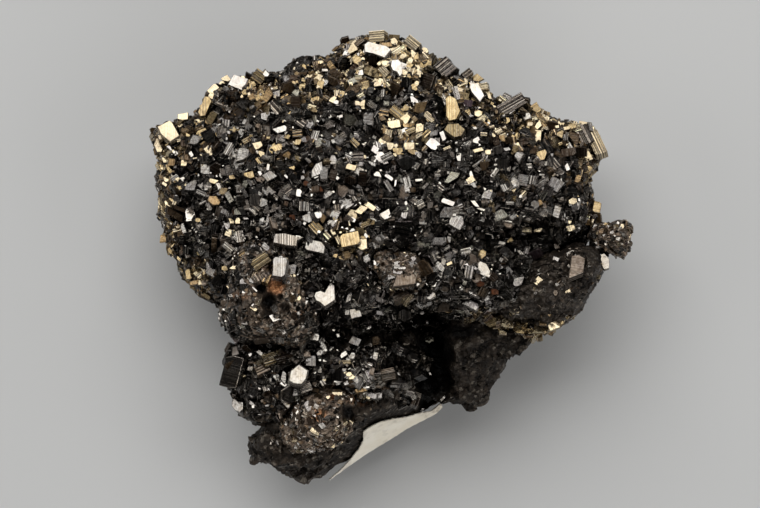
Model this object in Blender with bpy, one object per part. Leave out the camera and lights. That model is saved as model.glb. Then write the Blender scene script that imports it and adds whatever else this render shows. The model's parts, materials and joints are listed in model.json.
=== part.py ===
# A druzy pyrite pseudomorph: crusts of tabular crystals on dull massive rock, with a paper label.
# It lies on its broken back with the crystals up. Sizes below are in millimetres, heights above
# the surface it lies on, +Y towards its crest. Everything is scaled to metres as it is built.

import math

import bmesh
import bpy
from mathutils import Matrix, Vector
from mathutils.bvhtree import BVHTree

MM = 0.001
GAP = 0.3  # clear space left round a single crystal and behind the label
GROWN_GAP = 0.4  # and between the masses, along their vertices' normals

# Outlines seen from above, each clockwise from the crest or the upper left, x and y.
UPPER_OUTLINE = [
    (-3.7, 49.2), (0.5, 48.3), (5.0, 47.2), (7.6, 44.4), (12.4, 42.7), (14.2, 40.1), (18.5, 39.6),
    (21.1, 34.8), (23.7, 34.2), (27.8, 35.1), (31.5, 32.5), (35.7, 29.6), (40.2, 29.8), (43.5, 28.3),
    (45.5, 25.7), (45.7, 21.4), (43.9, 16.2), (43.3, 13.1), (45.0, 10.1), (45.0, 6.2), (42.8, 1.4),
    (38.1, -9.5), (36.6, -15.8), (29.8, -17.8), (23.3, -17.3), (13.5, -16.4), (7.0, -21.6),
    (-2.8, -18.0), (-12.0, -22.2), (-24.5, -19.2), (-33.2, -19.6), (-36.7, -15.6), (-38.9, -11.2),
    (-45.8, -5.8), (-49.6, 1.6), (-51.8, 7.5), (-52.6, 14.0), (-51.9, 19.8), (-52.8, 24.4),
    (-53.0, 27.9), (-45.0, 30.8), (-41.1, 34.9), (-35.8, 38.5), (-30.6, 40.0), (-26.3, 40.2),
    (-23.0, 42.4), (-17.6, 43.6), (-12.8, 44.4), (-11.3, 47.1), (-7.6, 46.8),
]
LOWER_OUTLINE = [
    (-13.7, -16.9), (5.9, -16.9), (8.2, -20.4), (6.2, -25.6), (4.2, -30.8), (-1.7, -33.0),
    (-11.5, -34.3), (-20.2, -36.5), (-27.2, -37.5), (-30.8, -35.8), (-33.9, -35.6), (-35.0, -31.7),
    (-37.4, -27.8), (-38.5, -23.8), (-37.2, -17.8), (-26.7, -16.9),
]
WEDGE_OUTLINE = [
    (-9.3, -26.0), (3.0, -26.5), (12.0, -29.0), (11.6, -34.0), (1.0, -46.5), (-8.0, -58.0),
    (-15.2, -51.2), (-22.9, -47.6), (-29.4, -45.7), (-33.6, -43.0), (-29.0, -37.6), (-21.0, -30.0),
]
LOBE_OUTLINE = [
    (12.0, -12.0), (19.0, -11.0), (26.0, -12.5), (29.8, -15.8), (30.0, -18.4), (23.3, -24.9),
    (21.5, -29.5), (17.0, -33.6), (12.6, -32.5), (11.3, -26.9), (10.8, -19.0),
]

# Heights of the masses.
RIM_HEIGHT = 21.0  # widest level of the upper crust
BACK_TOP = 23.0  # top of the massive rock under the crusts
FOOT_SHARE = 0.86  # the massive rock's outline as a share of the crust's
RESTING_CUT = 3.2  # how far up the rounded back the resting facet is cut
SKIRT_DROP = 9.0  # how far below its rim the upper crust reaches down
FACE_LOW = 32.0  # height of the crystal face near the crest
FACE_HIGH = 41.0  # and along the waist
CREST_Y = 44.0
WAIST_Y = 0.0
SHELF_HEIGHT = 33.5  # height of the lower crystal field under the waist
SHELF_SLOPE = 0.25  # and how it falls towards the wedge's tip
BROKEN_SLOPE = 0.13  # the same for the wedge and the lobe

# Swells (+) and hollows (-) of the crystal face: x, y, half width, half length, height.
FACE_SWELLS = [
    (2.0, -3.0, 11.0, 9.0, 3.0),  # mound in the middle
    (20.0, 12.0, 14.0, 10.0, 2.0),  # swelling above the ledge
    (-20.0, 27.0, 12.0, 9.0, 1.5),
    (-43.0, 12.0, 11.0, 20.0, -5.0),  # left flank falls back
    (38.0, 24.0, 10.0, 10.0, -3.5),  # right shoulder falls back
    (31.0, 1.5, 16.0, 3.6, -9.0),  # groove under the ledge
    (9.0, -19.5, 9.0, 6.0, -13.0),  # dark hollow above the lobe
    (-12.0, -19.0, 12.0, 3.5, -6.0),  # groove at the waist
    (26.0, -16.0, 9.0, 4.0, -9.0),  # low strip between nodule and lobe
]

# Massive rock between the back, the wedge and the lobe, as lumps: x, y, height of centre,
# half sizes along x, y and z.
ROCK_LUMPS = [
    (17.0, -20.0, 18.0, 6.0, 7.0, 9.0), (24.0, -17.0, 16.0, 6.5, 5.5, 8.5),
    (17.5, -28.0, 16.0, 4.6, 5.2, 7.6), (-5.0, -25.0, 12.0, 22.0, 14.0, 13.0),
    (0.0, -33.5, 18.0, 8.0, 5.5, 11.0),
]

# Voxel sizes for fusing shapes, then the triangles that each mass keeps.
VOXEL = 1.25
NODULE_VOXEL = 0.7
UPPER_TRIANGLES = 1900
LOWER_TRIANGLES = 500
MATRIX_TRIANGLES = 1050
NODULE_TRIANGLES = 300
SMALL_NODULE_TRIANGLES = 150

# Rounded masses that stand out of the crust, each a handful of fused lumps:
# x, y, height of centre, half sizes along x, y and z.
NODULES = {
    "nodule_left": [
        (-26.8, -9.0, 32.5, 9.0, 10.2, 11.5), (-28.5, -3.0, 33.5, 7.6, 7.0, 10.5),
        (-22.5, -12.5, 32.0, 6.6, 7.4, 10.0), (-31.5, -12.5, 31.0, 6.0, 6.4, 9.0),
    ],
    "nodule_right": [
        (34.0, -6.5, 27.0, 11.2, 7.2, 10.0), (27.5, -8.5, 26.5, 7.0, 6.2, 9.5),
        (40.5, -2.5, 27.0, 5.4, 5.6, 9.0), (35.5, -11.0, 25.0, 7.0, 4.6, 7.5),
    ],
    "nub_right": [
        (48.6, 3.6, 25.0, 3.5, 3.9, 4.6), (45.8, 4.4, 24.5, 3.6, 2.9, 4.0),
        (49.6, 1.9, 25.0, 2.5, 2.6, 3.4), (50.0, 5.2, 24.6, 2.2, 2.4, 3.2),
    ],
    "rosette_centre": [
        (1.6, -3.2, 41.5, 5.2, 4.4, 4.6), (-1.4, -1.6, 41.0, 3.4, 3.2, 4.0),
        (4.4, -4.6, 41.0, 3.2, 3.0, 3.8),
    ],
    "rosette_bottom": [
        (-15.6, -35.2, 27.0, 7.2, 7.4, 8.4), (-19.6, -38.4, 25.0, 5.4, 5.0, 7.0),
        (-12.0, -32.6, 27.5, 4.6, 4.4, 7.0),
    ],
}

LARGE_NODULES = ("nodule_left", "nodule_right")

# Single large crystals: x, y, height (0 seats it on the crust), half length and half width of
# its outline, thickness, plates in the stack, lean of the stack's axis from upright in
# degrees, the way it leans (0 is +X, 90 is the crest), and the turn of the outline's length.
CRYSTALS = {
    "crystal_crest_white": (-3.6, 45.0, 0, 3.3, 1.5, 2.4, 2, 19, 100, 169),
    "crystal_crest_stack": (-3.5, 47.7, 0, 2.2, 1.6, 2.6, 3, 71, -90, 0),
    "crystal_crest_face": (0.8, 40.9, 0, 2.1, 1.3, 2.0, 2, 20, 90, 116),
    "crystal_shoulder_stack": (11.3, 41.0, 0, 2.4, 1.8, 3.9, 5, 74, -48, 42),
    "crystal_shoulder_plate": (18.0, 35.7, 0, 2.3, 1.1, 2.2, 2, 20, 85, 114),
    "crystal_right_tablet": (25.8, 32.9, 0, 3.7, 2.8, 2.8, 4, 73, -57, 33),
    "crystal_right_column": (44.2, 24.5, 0, 3.3, 2.4, 2.6, 3, 85, -156, -66),
    "crystal_left_block": (-48.5, 27.1, 0, 2.2, 1.6, 3.3, 4, 81, -145, -55),
    "crystal_left_tablet": (-40.8, 32.4, 0, 2.5, 1.0, 2.0, 2, 22, 110, 66),
    "crystal_rim_blade": (-29.0, 39.0, 0, 2.0, 1.5, 2.6, 3, 77, -128, -38),
    "crystal_brass_slab": (12.6, 32.0, 0, 3.1, 1.7, 2.0, 2, 21, 92, 90),
    "crystal_brass_low": (13.3, 27.2, 0, 2.4, 1.6, 1.8, 2, 22, 100, 0),
    "crystal_ledge_plate": (39.9, -1.9, 0, 3.2, 1.7, 2.2, 2, 24, 80, 80),
    "crystal_ledge_twin": (45.7, -1.2, 0, 1.7, 1.3, 1.3, 2, 20, 92, -70),
    "crystal_edge_spike": (44.2, 10.6, 0, 1.3, 0.9, 1.1, 2, 20, 90, 80),
    "crystal_bright_plate": (-14.5, -8.4, 0, 2.9, 2.3, 2.0, 2, 19, 98, 77),
    "crystal_barrel_cap": (-24.6, -2.2, 0, 2.7, 2.2, 3.0, 3, 18, 105, 51),
    "crystal_barrel_stack": (-23.4, 3.5, 0, 1.2, 0.9, 5.7, 5, 85, -8, 82),
    "crystal_lower_plate": (-20.5, -26.0, 0, 2.6, 2.3, 2.2, 2, 20, 92, 28),
    "crystal_left_fin": (-35.1, -25.1, 0, 3.7, 2.0, 2.5, 2, 30, -160, 75),
    "crystal_heart_plate": (-33.8, -32.3, 0, 1.6, 1.3, 1.6, 2, 20, 110, 114),
    "crystal_centre_gold": (-9.3, 3.7, 0, 2.2, 1.4, 1.6, 2, 20, 95, 12),
}
CRYSTAL_STAND = 0.9  # how far the middle of a seated crystal's upper side is above the crust
RIM_SEAT = 23.5  # lowest seat of a crystal at the rim
PLATE_STEP = 0.12  # how much each plate of a stack is smaller or larger than the next

# Broken faces of the back: a point on each and the way it faces.
BACK_BREAKS = [
    ((-37.5, 5.0, 6.0), (-0.75, 0.1, -0.65)),
    ((-8.0, 35.0, 6.0), (-0.15, 0.72, -0.68)),
    ((32.5, 6.0, 6.0), (0.72, -0.2, -0.66)),
    ((20.0, 29.0, 6.0), (0.5, 0.6, -0.62)),
    ((-25.0, 24.0, 3.0), (-0.45, 0.4, -0.8)),
    ((-22.0, -26.0, 5.0), (-0.62, -0.1, -0.78)),
    ((14.0, -17.0, 3.0), (0.35, -0.5, -0.79)),
    ((-20.0, -40.0, 2.0), (-0.3, -0.2, -0.93)),
    ((-1.4, -41.2, 7.0), (0.34, -0.54, -0.77)),  # under the label
]

# The broken face that carries the label: two points of its lower edge, how far back it leans,
# and the label's outline on it, along the edge and up the face.
LABEL_EDGE_START = (-14.1, -49.2)
LABEL_EDGE_END = (11.9, -32.9)
LABEL_EDGE_HEIGHT = 8.0
LABEL_LEAN = 24.0
LABEL_THICKNESS = 0.35
LABEL_FACE_SPAN = (-8.0, 30.6)
LABEL_CUT_REACH = 30.0
LABEL_OUTLINE = [
    (-0.8, 0.5), (1.9, 0.8), (4.1, 1.1), (7.3, 1.3), (11.1, 1.4), (15.7, 1.4), (20.4, 1.4), (24.6, 0.6),
    (27.5, 0.2), (29.6, 1.2), (29.9, 3.7), (28.9, 3.6), (27.0, 3.1), (25.2, 5.0), (21.7, 7.7),
    (18.9, 11.0), (16.5, 13.4), (14.2, 14.0), (12.0, 13.6), (11.1, 9.6), (9.1, 6.7), (6.6, 4.2),
    (4.0, 2.6), (1.5, 1.6),
]

# Colour, roughness and metallic value of each finish.
FINISHES = {
    "rock": ((0.045, 0.036, 0.030), 0.82, 0.0),
    "druse": ((0.10, 0.098, 0.095), 0.34, 1.0),
    "nodule": ((0.075, 0.062, 0.052), 0.55, 0.6),
    "steel": ((0.36, 0.35, 0.34), 0.22, 1.0),
    "brass": ((0.62, 0.50, 0.30), 0.26, 1.0),
    "paper": ((0.78, 0.72, 0.58), 0.85, 0.0),
}
BRASS_CRYSTALS = {
    "crystal_crest_white", "crystal_crest_stack", "crystal_crest_face", "crystal_shoulder_stack",
    "crystal_shoulder_plate", "crystal_right_tablet", "crystal_right_column", "crystal_left_block",
    "crystal_left_tablet", "crystal_rim_blade", "crystal_brass_slab", "crystal_brass_low",
    "crystal_edge_spike", "crystal_centre_gold",
}


def clear_scene():
    for obj in list(bpy.data.objects):
        bpy.data.objects.remove(obj, do_unlink=True)


def finish_material(finish):
    material = bpy.data.materials.get(finish)
    if material:
        return material
    color, roughness, metallic = FINISHES[finish]
    material = bpy.data.materials.new(finish)
    material.use_nodes = True
    shader = material.node_tree.nodes["Principled BSDF"]
    shader.inputs["Base Color"].default_value = (*color, 1.0)
    shader.inputs["Roughness"].default_value = roughness
    shader.inputs["Metallic"].default_value = metallic
    material.diffuse_color = (*color, 1.0)
    return material


def new_object(name, mesh, finish=None):
    obj = bpy.data.objects.new(name, mesh)
    bpy.context.scene.collection.objects.link(obj)
    if finish:
        mesh.materials.clear()
        mesh.materials.append(finish_material(finish))
    return obj


def as_cutter(obj):
    obj.hide_render = True
    obj.display_type = "WIRE"
    return obj


def object_from_bmesh(name, bm, finish=None):
    bmesh.ops.recalc_face_normals(bm, faces=bm.faces)
    mesh = bpy.data.meshes.new(name)
    bm.to_mesh(mesh)
    bm.free()
    return new_object(name, mesh, finish)


def closed_ring(points, count):
    # The outline walked round at equal steps.
    loop = [Vector(p) for p in points]
    sides = [(b - a).length for a, b in zip(loop, loop[1:] + loop[:1])]
    step = sum(sides) / count
    ring = []
    side, walked = 0, 0.0
    for index in range(count):
        target = index * step
        while walked + sides[side] < target:
            walked += sides[side]
            side += 1
        share = (target - walked) / sides[side]
        ring.append(loop[side].lerp(loop[(side + 1) % len(loop)], share))
    return ring


def face_height(x, y):
    # Height of the crystal face away from its rims.
    climb = min(max((CREST_Y - y) / (CREST_Y - WAIST_Y), 0.0), 1.0)
    height = FACE_LOW + (FACE_HIGH - FACE_LOW) * math.sin(climb * math.pi / 2)
    for cx, cy, half_x, half_y, swell in FACE_SWELLS:
        height += swell * math.exp(-(((x - cx) / half_x) ** 2) - ((y - cy) / half_y) ** 2)
    return height


def skirt_height(x, y):
    # How far the crusts reach down over the massive rock, higher and lower round the rim.
    return RIM_HEIGHT - SKIRT_DROP + 3.0 * math.sin(x / 9.0 + 1.0) + 2.4 * math.cos(y / 8.0)


def shelf_height(x, y):
    # Height of the lower crystal field, sinking to the hollow at its right end.
    sunk = 7.0 * math.exp(-(((x - 9.0) / 7.0) ** 2))
    return SHELF_HEIGHT + SHELF_SLOPE * (y + 26.0) - sunk


def pillow(bm, outline, centre, rim, top, bottom, steps=9, count=110, roundness=3.4):
    # A closed body that is widest at the rim height, along the outline. top and bottom
    # give the height of its two faces at a point, and steps the rings on each.
    ring = closed_ring(outline, count)
    middle = Vector(centre)
    loops = []
    for level in range(-steps + 1, steps):
        share = 1 - abs(level) / steps
        share = 1 - (1 - share) ** 1.7
        rise = math.sqrt(max(1 - share**roundness, 0.0))
        loop = []
        for point in ring:
            x, y = middle.lerp(point, share)
            reach = (top(x, y) if level > 0 else bottom(x, y)) - rim
            loop.append(bm.verts.new((x * MM, y * MM, (rim + rise * reach) * MM)))
        loops.append(loop)
    for low, high in zip(loops, loops[1:]):
        for i in range(count):
            j = (i + 1) % count
            bm.faces.new((low[i], low[j], high[j], high[i]))
    for loop, height in ((loops[0], bottom), (loops[-1], top)):
        tip = bm.verts.new((middle.x * MM, middle.y * MM, height(*middle) * MM))
        for i in range(count):
            bm.faces.new((loop[i], loop[(i + 1) % count], tip))


def lump(bm, x, y, z, half_x, half_y, half_z, turn=0.0):
    place = Matrix.Translation(Vector((x, y, z)) * MM) @ Matrix.Rotation(turn, 4, "Z")
    place = place @ Matrix.Diagonal((half_x * MM, half_y * MM, half_z * MM, 1.0))
    bmesh.ops.create_icosphere(bm, subdivisions=3, radius=1.0, matrix=place)


def roughen(obj, kind, size, depth, level=0.5):
    # Blender's own procedural textures, moved along the surface's normals.
    texture = bpy.data.textures.new(f"{obj.name}_{kind.lower()}", kind)
    texture.noise_scale = size * MM
    displace = obj.modifiers.new(kind.title(), "DISPLACE")
    displace.texture = texture
    displace.texture_coords = "GLOBAL"
    displace.strength = depth * MM
    displace.mid_level = level


def fuse(obj, voxel=VOXEL):
    remesh = obj.modifiers.new("Fuse", "REMESH")
    remesh.mode = "VOXEL"
    remesh.voxel_size = voxel * MM
    remesh.adaptivity = 0.0
    smooth = obj.modifiers.new("Smooth", "SMOOTH")
    smooth.iterations = 2


def settle(obj):
    # Apply the modifiers and keep the largest body, without crumbs that a cut leaves.
    depsgraph = bpy.context.evaluated_depsgraph_get()
    mesh = bpy.data.meshes.new_from_object(obj.evaluated_get(depsgraph))
    obj.modifiers.clear()
    bm = bmesh.new()
    bm.from_mesh(mesh)
    unseen = set(bm.verts)
    bodies = []
    while unseen:
        stack = [unseen.pop()]
        body = set(stack)
        while stack:
            for edge in stack.pop().link_edges:
                for vert in edge.verts:
                    if vert in unseen:
                        unseen.discard(vert)
                        body.add(vert)
                        stack.append(vert)
        bodies.append(body)
    bodies.sort(key=len)
    crumbs = [vert for body in bodies[:-1] for vert in body]
    bmesh.ops.delete(bm, geom=crumbs, context="VERTS")
    bmesh.ops.dissolve_degenerate(bm, dist=0.005 * MM, edges=bm.edges)
    bmesh.ops.triangulate(bm, faces=bm.faces)
    bm.to_mesh(mesh)
    bm.free()
    obj.data = mesh
    return obj


def thin_out(obj, triangles):
    # Collapse edges until about this many triangles are left.
    settle(obj)
    decimate = obj.modifiers.new("Thin", "DECIMATE")
    decimate.ratio = min(triangles / len(obj.data.polygons), 1.0)
    return settle(obj)


def cut_away(obj, cutter, solver="EXACT"):
    boolean = obj.modifiers.new("Cut", "BOOLEAN")
    boolean.operation = "DIFFERENCE"
    boolean.solver = solver
    boolean.object = cutter
    return settle(obj)


def grown_copy(obj):
    # A cutter that is the body grown by the gap on every side.
    cutter = as_cutter(new_object(obj.name + "_room", obj.data.copy()))
    grow = cutter.modifiers.new("Grow", "DISPLACE")
    grow.strength = GROWN_GAP * MM
    grow.mid_level = 0.0
    return settle(cutter)


def shave(body, point, out):
    # Break the body off flat along a plane.
    bm = bmesh.new()
    bm.from_mesh(body.data)
    cut = bmesh.ops.bisect_plane(bm, geom=[*bm.verts, *bm.edges, *bm.faces], plane_co=point,
                                 plane_no=out, clear_outer=True, dist=0.01 * MM)
    edges = [e for e in cut["geom_cut"] if isinstance(e, bmesh.types.BMEdge)]
    bmesh.ops.holes_fill(bm, edges=edges)
    bmesh.ops.triangulate(bm, faces=bm.faces)
    bm.to_mesh(body.data)
    bm.free()


def label_block(start, along, up, out):
    # A cutter that leaves the label's face flat without reaching the lobe.
    low, high = LABEL_FACE_SPAN
    reach = LABEL_CUT_REACH
    corner = Matrix((along, up, out)).transposed().to_4x4()
    corner.translation = start * MM
    size = Matrix.Diagonal(((high - low) * MM, 2 * reach * MM, reach * MM, 1.0))
    middle = Matrix.Translation(Vector(((low + high) / 2, 0.0, reach / 2)) * MM)
    bm = bmesh.new()
    bmesh.ops.create_cube(bm, size=1.0, matrix=corner @ middle @ size)
    return as_cutter(object_from_bmesh("label_block", bm))


def make_matrix(face_cutter):
    # Back slab, wedge and lobe fused, with broken faces and the resting facet cut flat.
    bm = bmesh.new()
    back = [(x * FOOT_SHARE, y * FOOT_SHARE) for x, y in UPPER_OUTLINE]
    pillow(bm, back, (-1.5, 9.0), 13.0, lambda x, y: BACK_TOP, lambda x, y: -RESTING_CUT)
    pillow(bm, WEDGE_OUTLINE, (-10.0, -38.0), 10.0,
           lambda x, y: 29.0 + BROKEN_SLOPE * (y + 37.0), lambda x, y: -3.0)
    pillow(bm, LOBE_OUTLINE, (18.5, -21.5), 14.0,
           lambda x, y: 25.0 + BROKEN_SLOPE * (y + 21.5), lambda x, y: 1.5)
    for lump_sizes in ROCK_LUMPS:
        lump(bm, *lump_sizes)
    matrix = object_from_bmesh("matrix", bm, "rock")
    fuse(matrix)
    settle(matrix)
    for point, out in BACK_BREAKS:
        shave(matrix, Vector(point) * MM, Vector(out).normalized())
    fuse(matrix)
    roughen(matrix, "CLOUDS", 9.0, 2.6)
    roughen(matrix, "VORONOI", 6.0, 2.0, 0.35)
    thin_out(matrix, MATRIX_TRIANGLES)
    shave(matrix, Vector((0, 0, 0)), Vector((0, 0, -1)))
    return cut_away(matrix, face_cutter)


def make_crust(name, outline, centre, top, triangles):
    bm = bmesh.new()
    pillow(bm, outline, centre, RIM_HEIGHT, top, skirt_height)
    crust = object_from_bmesh(name, bm, "druse")
    fuse(crust)
    roughen(crust, "CLOUDS", 8.0, 2.2)
    roughen(crust, "VORONOI", 5.0, 1.8, 0.4)
    return thin_out(crust, triangles)


def make_nodule(name, lumps, triangles):
    bm = bmesh.new()
    for x, y, z, half_x, half_y, half_z in lumps:
        lump(bm, x, y, z, half_x, half_y, half_z, turn=0.4)
    nodule = object_from_bmesh(name, bm, "nodule")
    fuse(nodule, NODULE_VOXEL)
    roughen(nodule, "CLOUDS", 4.0, 1.0)
    roughen(nodule, "VORONOI", 3.4, 0.9)
    return thin_out(nodule, triangles)


def crystal_mesh(name, length, width, thickness, plates, grow=0.0):
    # Six-sided plates in a stack along local Z, by turns wider and narrower.
    bm = bmesh.new()
    rings = []
    for plate in range(plates):
        share = 1.0 - PLATE_STEP * (plate % 2) if grow == 0.0 else 1.0
        for end in (plate, plate + 1):
            z = (end / plates - 0.5) * (thickness + 2 * grow)
            reach_x = length * share + 1.5 * grow
            reach_y = (width * share + grow) / math.sin(math.radians(60))
            ring = []
            for corner in range(6):
                angle = math.radians(60 * corner)
                # Every second corner is drawn in a little, as on the real plates.
                side = 1.0 if corner % 2 else 0.93
                ring.append(bm.verts.new((side * reach_x * math.cos(angle) * MM,
                                          side * reach_y * math.sin(angle) * MM, z * MM)))
            rings.append(ring)
    for low, high in zip(rings, rings[1:]):
        if grow and (low[0].co - high[0].co).length < 1e-9:
            continue
        for i in range(6):
            j = (i + 1) % 6
            bm.faces.new((low[i], low[j], high[j], high[i]))
    bm.faces.new(rings[0])
    bm.faces.new(rings[-1])
    bmesh.ops.remove_doubles(bm, verts=bm.verts, dist=1e-7)
    bmesh.ops.recalc_face_normals(bm, faces=bm.faces)
    mesh = bpy.data.meshes.new(name)
    bm.to_mesh(mesh)
    bm.free()
    return mesh


def surface_height(obj, x, y):
    # Where a plumb line at x, y first meets the body, in millimetres.
    depsgraph = bpy.context.evaluated_depsgraph_get()
    tree = BVHTree.FromObject(obj, depsgraph)
    hit = tree.ray_cast(Vector((x * MM, y * MM, 1.0)), Vector((0, 0, -1)))[0]
    return hit.z / MM if hit else 0.0


def place_crystal(obj, x, y, z, lean, way, turn):
    way_angle = math.radians(way)
    tip = Matrix.Rotation(way_angle, 4, "Z") @ Matrix.Rotation(math.radians(lean), 4, "Y")
    spin = Matrix.Rotation(math.radians(turn) - way_angle, 4, "Z")
    obj.matrix_world = Matrix.Translation(Vector((x, y, z)) * MM) @ tip @ spin


def make_crystals(crusts):
    rooms = []
    for name, values in CRYSTALS.items():
        x, y, z, length, width, thickness, plates, lean, way, turn = values
        if not z:
            seat = max(surface_height(crust, x, y) for crust in crusts)
            tilt = math.radians(lean)
            half = max(thickness / 2 * math.cos(tilt), width * math.sin(tilt))
            z = max(seat, RIM_SEAT) + CRYSTAL_STAND - half
        finish = "brass" if name in BRASS_CRYSTALS else "steel"
        sizes = (length, width, thickness, plates)
        crystal = new_object(name, crystal_mesh(name, *sizes), finish)
        room = new_object(name + "_room", crystal_mesh(name, *sizes, GAP))
        for obj in (crystal, room):
            place_crystal(obj, x, y, z, lean, way, turn)
        rooms.append(as_cutter(room))
    return rooms


def label_frame():
    # Along the face's lower edge, up the face, and out of it.
    start = Vector((*LABEL_EDGE_START, LABEL_EDGE_HEIGHT))
    along = (Vector((*LABEL_EDGE_END, LABEL_EDGE_HEIGHT)) - start).normalized()
    inward = Vector((0, 0, 1)).cross(along)
    lean = math.radians(LABEL_LEAN)
    up = Vector((0, 0, math.cos(lean))) + inward * math.sin(lean)
    return start, along, up, along.cross(up)


def make_label(start, along, up, out):
    bm = bmesh.new()
    loops = []
    for depth in (GAP, GAP + LABEL_THICKNESS):
        loop = []
        for a, b in LABEL_OUTLINE:
            loop.append(bm.verts.new((start + along * a + up * b + out * depth) * MM))
        loops.append(loop)
    bm.faces.new(loops[0])
    bm.faces.new(loops[1])
    for i in range(len(LABEL_OUTLINE)):
        j = (i + 1) % len(LABEL_OUTLINE)
        bm.faces.new((loops[0][i], loops[0][j], loops[1][j], loops[1][i]))
    bmesh.ops.triangulate(bm, faces=bm.faces)
    return object_from_bmesh("paper_label", bm, "paper")


def centre_on_origin():
    # The middle of the part's box stands on the origin, and its lowest face on the surface.
    bpy.context.view_layer.update()
    pieces = [obj for obj in bpy.data.objects if not obj.hide_render]
    corners = [obj.matrix_world @ vert.co for obj in pieces for vert in obj.data.vertices]
    low = Vector([min(corner[axis] for corner in corners) for axis in range(3)])
    high = Vector([max(corner[axis] for corner in corners) for axis in range(3)])
    middle = (low + high) / 2
    for obj in pieces:
        obj.location -= Vector((middle.x, middle.y, low.z))
    bpy.context.view_layer.update()


def build():
    clear_scene()
    face = label_frame()
    matrix = make_matrix(label_block(*face))
    upper = make_crust("druse_upper", UPPER_OUTLINE, (-1.5, 9.0), face_height, UPPER_TRIANGLES)
    lower = make_crust("druse_lower", LOWER_OUTLINE, (-13.0, -26.0), shelf_height, LOWER_TRIANGLES)
    nodules = {}
    for name, lumps in NODULES.items():
        triangles = NODULE_TRIANGLES if name in LARGE_NODULES else SMALL_NODULE_TRIANGLES
        nodules[name] = make_nodule(name, lumps, triangles)
    crystal_rooms = make_crystals([upper, lower, *nodules.values()])
    make_label(*face)

    # Each piece is cut by room for the pieces that grew through it or before it.
    nodule_rooms = {name: grown_copy(nodule) for name, nodule in nodules.items()}
    matrix_room = grown_copy(matrix)
    upper_room = grown_copy(upper)
    for body in (matrix, upper, lower, *nodules.values()):
        for room in crystal_rooms:
            cut_away(body, room)
    # The grown masses fold over themselves in their creases, where EXACT loses the body.
    for body in (matrix, upper, lower):
        for room in nodule_rooms.values():
            cut_away(body, room, "MANIFOLD")
    cut_away(nodules["nodule_right"], nodule_rooms["nub_right"], "MANIFOLD")
    cut_away(upper, matrix_room, "MANIFOLD")
    cut_away(lower, matrix_room, "MANIFOLD")
    cut_away(lower, upper_room, "MANIFOLD")
    centre_on_origin()


build()
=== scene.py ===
import json
import math
import random

import bmesh
import bpy
from mathutils import Matrix, Vector, noise
from mathutils.bvhtree import BVHTree
from mathutils.kdtree import KDTree


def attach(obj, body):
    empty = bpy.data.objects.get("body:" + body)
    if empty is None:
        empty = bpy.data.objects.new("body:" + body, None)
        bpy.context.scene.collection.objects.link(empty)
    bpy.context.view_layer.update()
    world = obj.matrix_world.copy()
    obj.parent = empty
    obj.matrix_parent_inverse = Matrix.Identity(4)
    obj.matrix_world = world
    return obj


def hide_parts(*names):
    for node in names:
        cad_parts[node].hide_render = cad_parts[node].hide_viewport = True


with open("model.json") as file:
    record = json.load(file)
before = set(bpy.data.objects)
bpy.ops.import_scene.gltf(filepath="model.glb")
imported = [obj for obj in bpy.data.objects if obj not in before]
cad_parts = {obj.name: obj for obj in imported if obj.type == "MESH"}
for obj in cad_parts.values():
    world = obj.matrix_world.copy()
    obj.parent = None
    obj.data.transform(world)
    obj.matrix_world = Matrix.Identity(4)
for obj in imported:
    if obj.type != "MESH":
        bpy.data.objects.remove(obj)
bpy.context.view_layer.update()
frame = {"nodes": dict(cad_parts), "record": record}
slots = {part["node"]: part["material_slot"] for part in frame["record"]["subparts"]}
mm = 0.001
rng = random.Random(41)
scene = bpy.context.scene
elsewhere = Vector((7.0, 3.0, 1.0))  # moves a noise along, so that two of them don't match

shot = {
    # where the photograph looks from
    "width": 760,
    "height": 508,
    "pixelsPerMm": 4.6,
    "sharpHeight": 28.0,  # height above the floor where that scale holds, in mm
    "cameraHeight": 1200.0,
    "centre": (-2.32, 0.56),  # what the middle of the picture looks at, in mm
    "sensor": 36.0,
    "clip": (0.05, 20.0),
}
pixel = mm / shot["pixelsPerMm"]  # what a pixel covers on the specimen


def addObject(name, data):
    obj = bpy.data.objects.new(name, data)
    scene.collection.objects.link(obj)
    return obj


def makeCamera():
    data = bpy.data.cameras.new("camera")
    data.sensor_width = shot["sensor"]
    reach = shot["cameraHeight"] - shot["sharpHeight"]
    data.lens = shot["sensor"] * reach * shot["pixelsPerMm"] / shot["width"]
    data.clip_start, data.clip_end = shot["clip"]
    camera = addObject("camera", data)
    camera.location = (*(c * mm for c in shot["centre"]), shot["cameraHeight"] * mm)
    scene.camera = camera


def pixelRay(u, v):
    # from the camera through a pixel of the photograph
    origin = Vector((*shot["centre"], shot["cameraHeight"])) * mm
    x = (u - shot["width"] / 2) / shot["pixelsPerMm"]
    y = (shot["height"] / 2 - v) / shot["pixelsPerMm"]
    aim = Vector((shot["centre"][0] + x, shot["centre"][1] + y, shot["sharpHeight"])) * mm
    return origin, (aim - origin).normalized()


def toPixel(point):
    # the pixel that a point of the specimen falls on
    spread = (shot["cameraHeight"] - shot["sharpHeight"]) / (shot["cameraHeight"] - point[2] / mm)
    x = (point[0] / mm - shot["centre"][0]) * spread * shot["pixelsPerMm"]
    y = (point[1] / mm - shot["centre"][1]) * spread * shot["pixelsPerMm"]
    return shot["width"] / 2 + x, shot["height"] / 2 - y


def pastOval(here, u, v, halfU, halfV):
    # how far a pixel is from an oval's middle: below 1 inside, 1 on its rim
    return ((here[0] - u) / halfU) ** 2 + ((here[1] - v) / halfV) ** 2


def spot(here, u, v, halfU, halfV, power=1):
    # 1 in the middle of an oval and fading towards its rim, with more power later and faster
    return math.exp(-(pastOval(here, u, v, halfU, halfV) ** power))


makeCamera()
print("camera set")


def weldedMesh(name):
    # the solid's own mesh with its corners joined again
    bm = bmesh.new()
    bm.from_mesh(frame["nodes"][name].data)
    bmesh.ops.remove_doubles(bm, verts=bm.verts, dist=1e-6)
    bmesh.ops.recalc_face_normals(bm, faces=bm.faces)
    return bm


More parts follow.
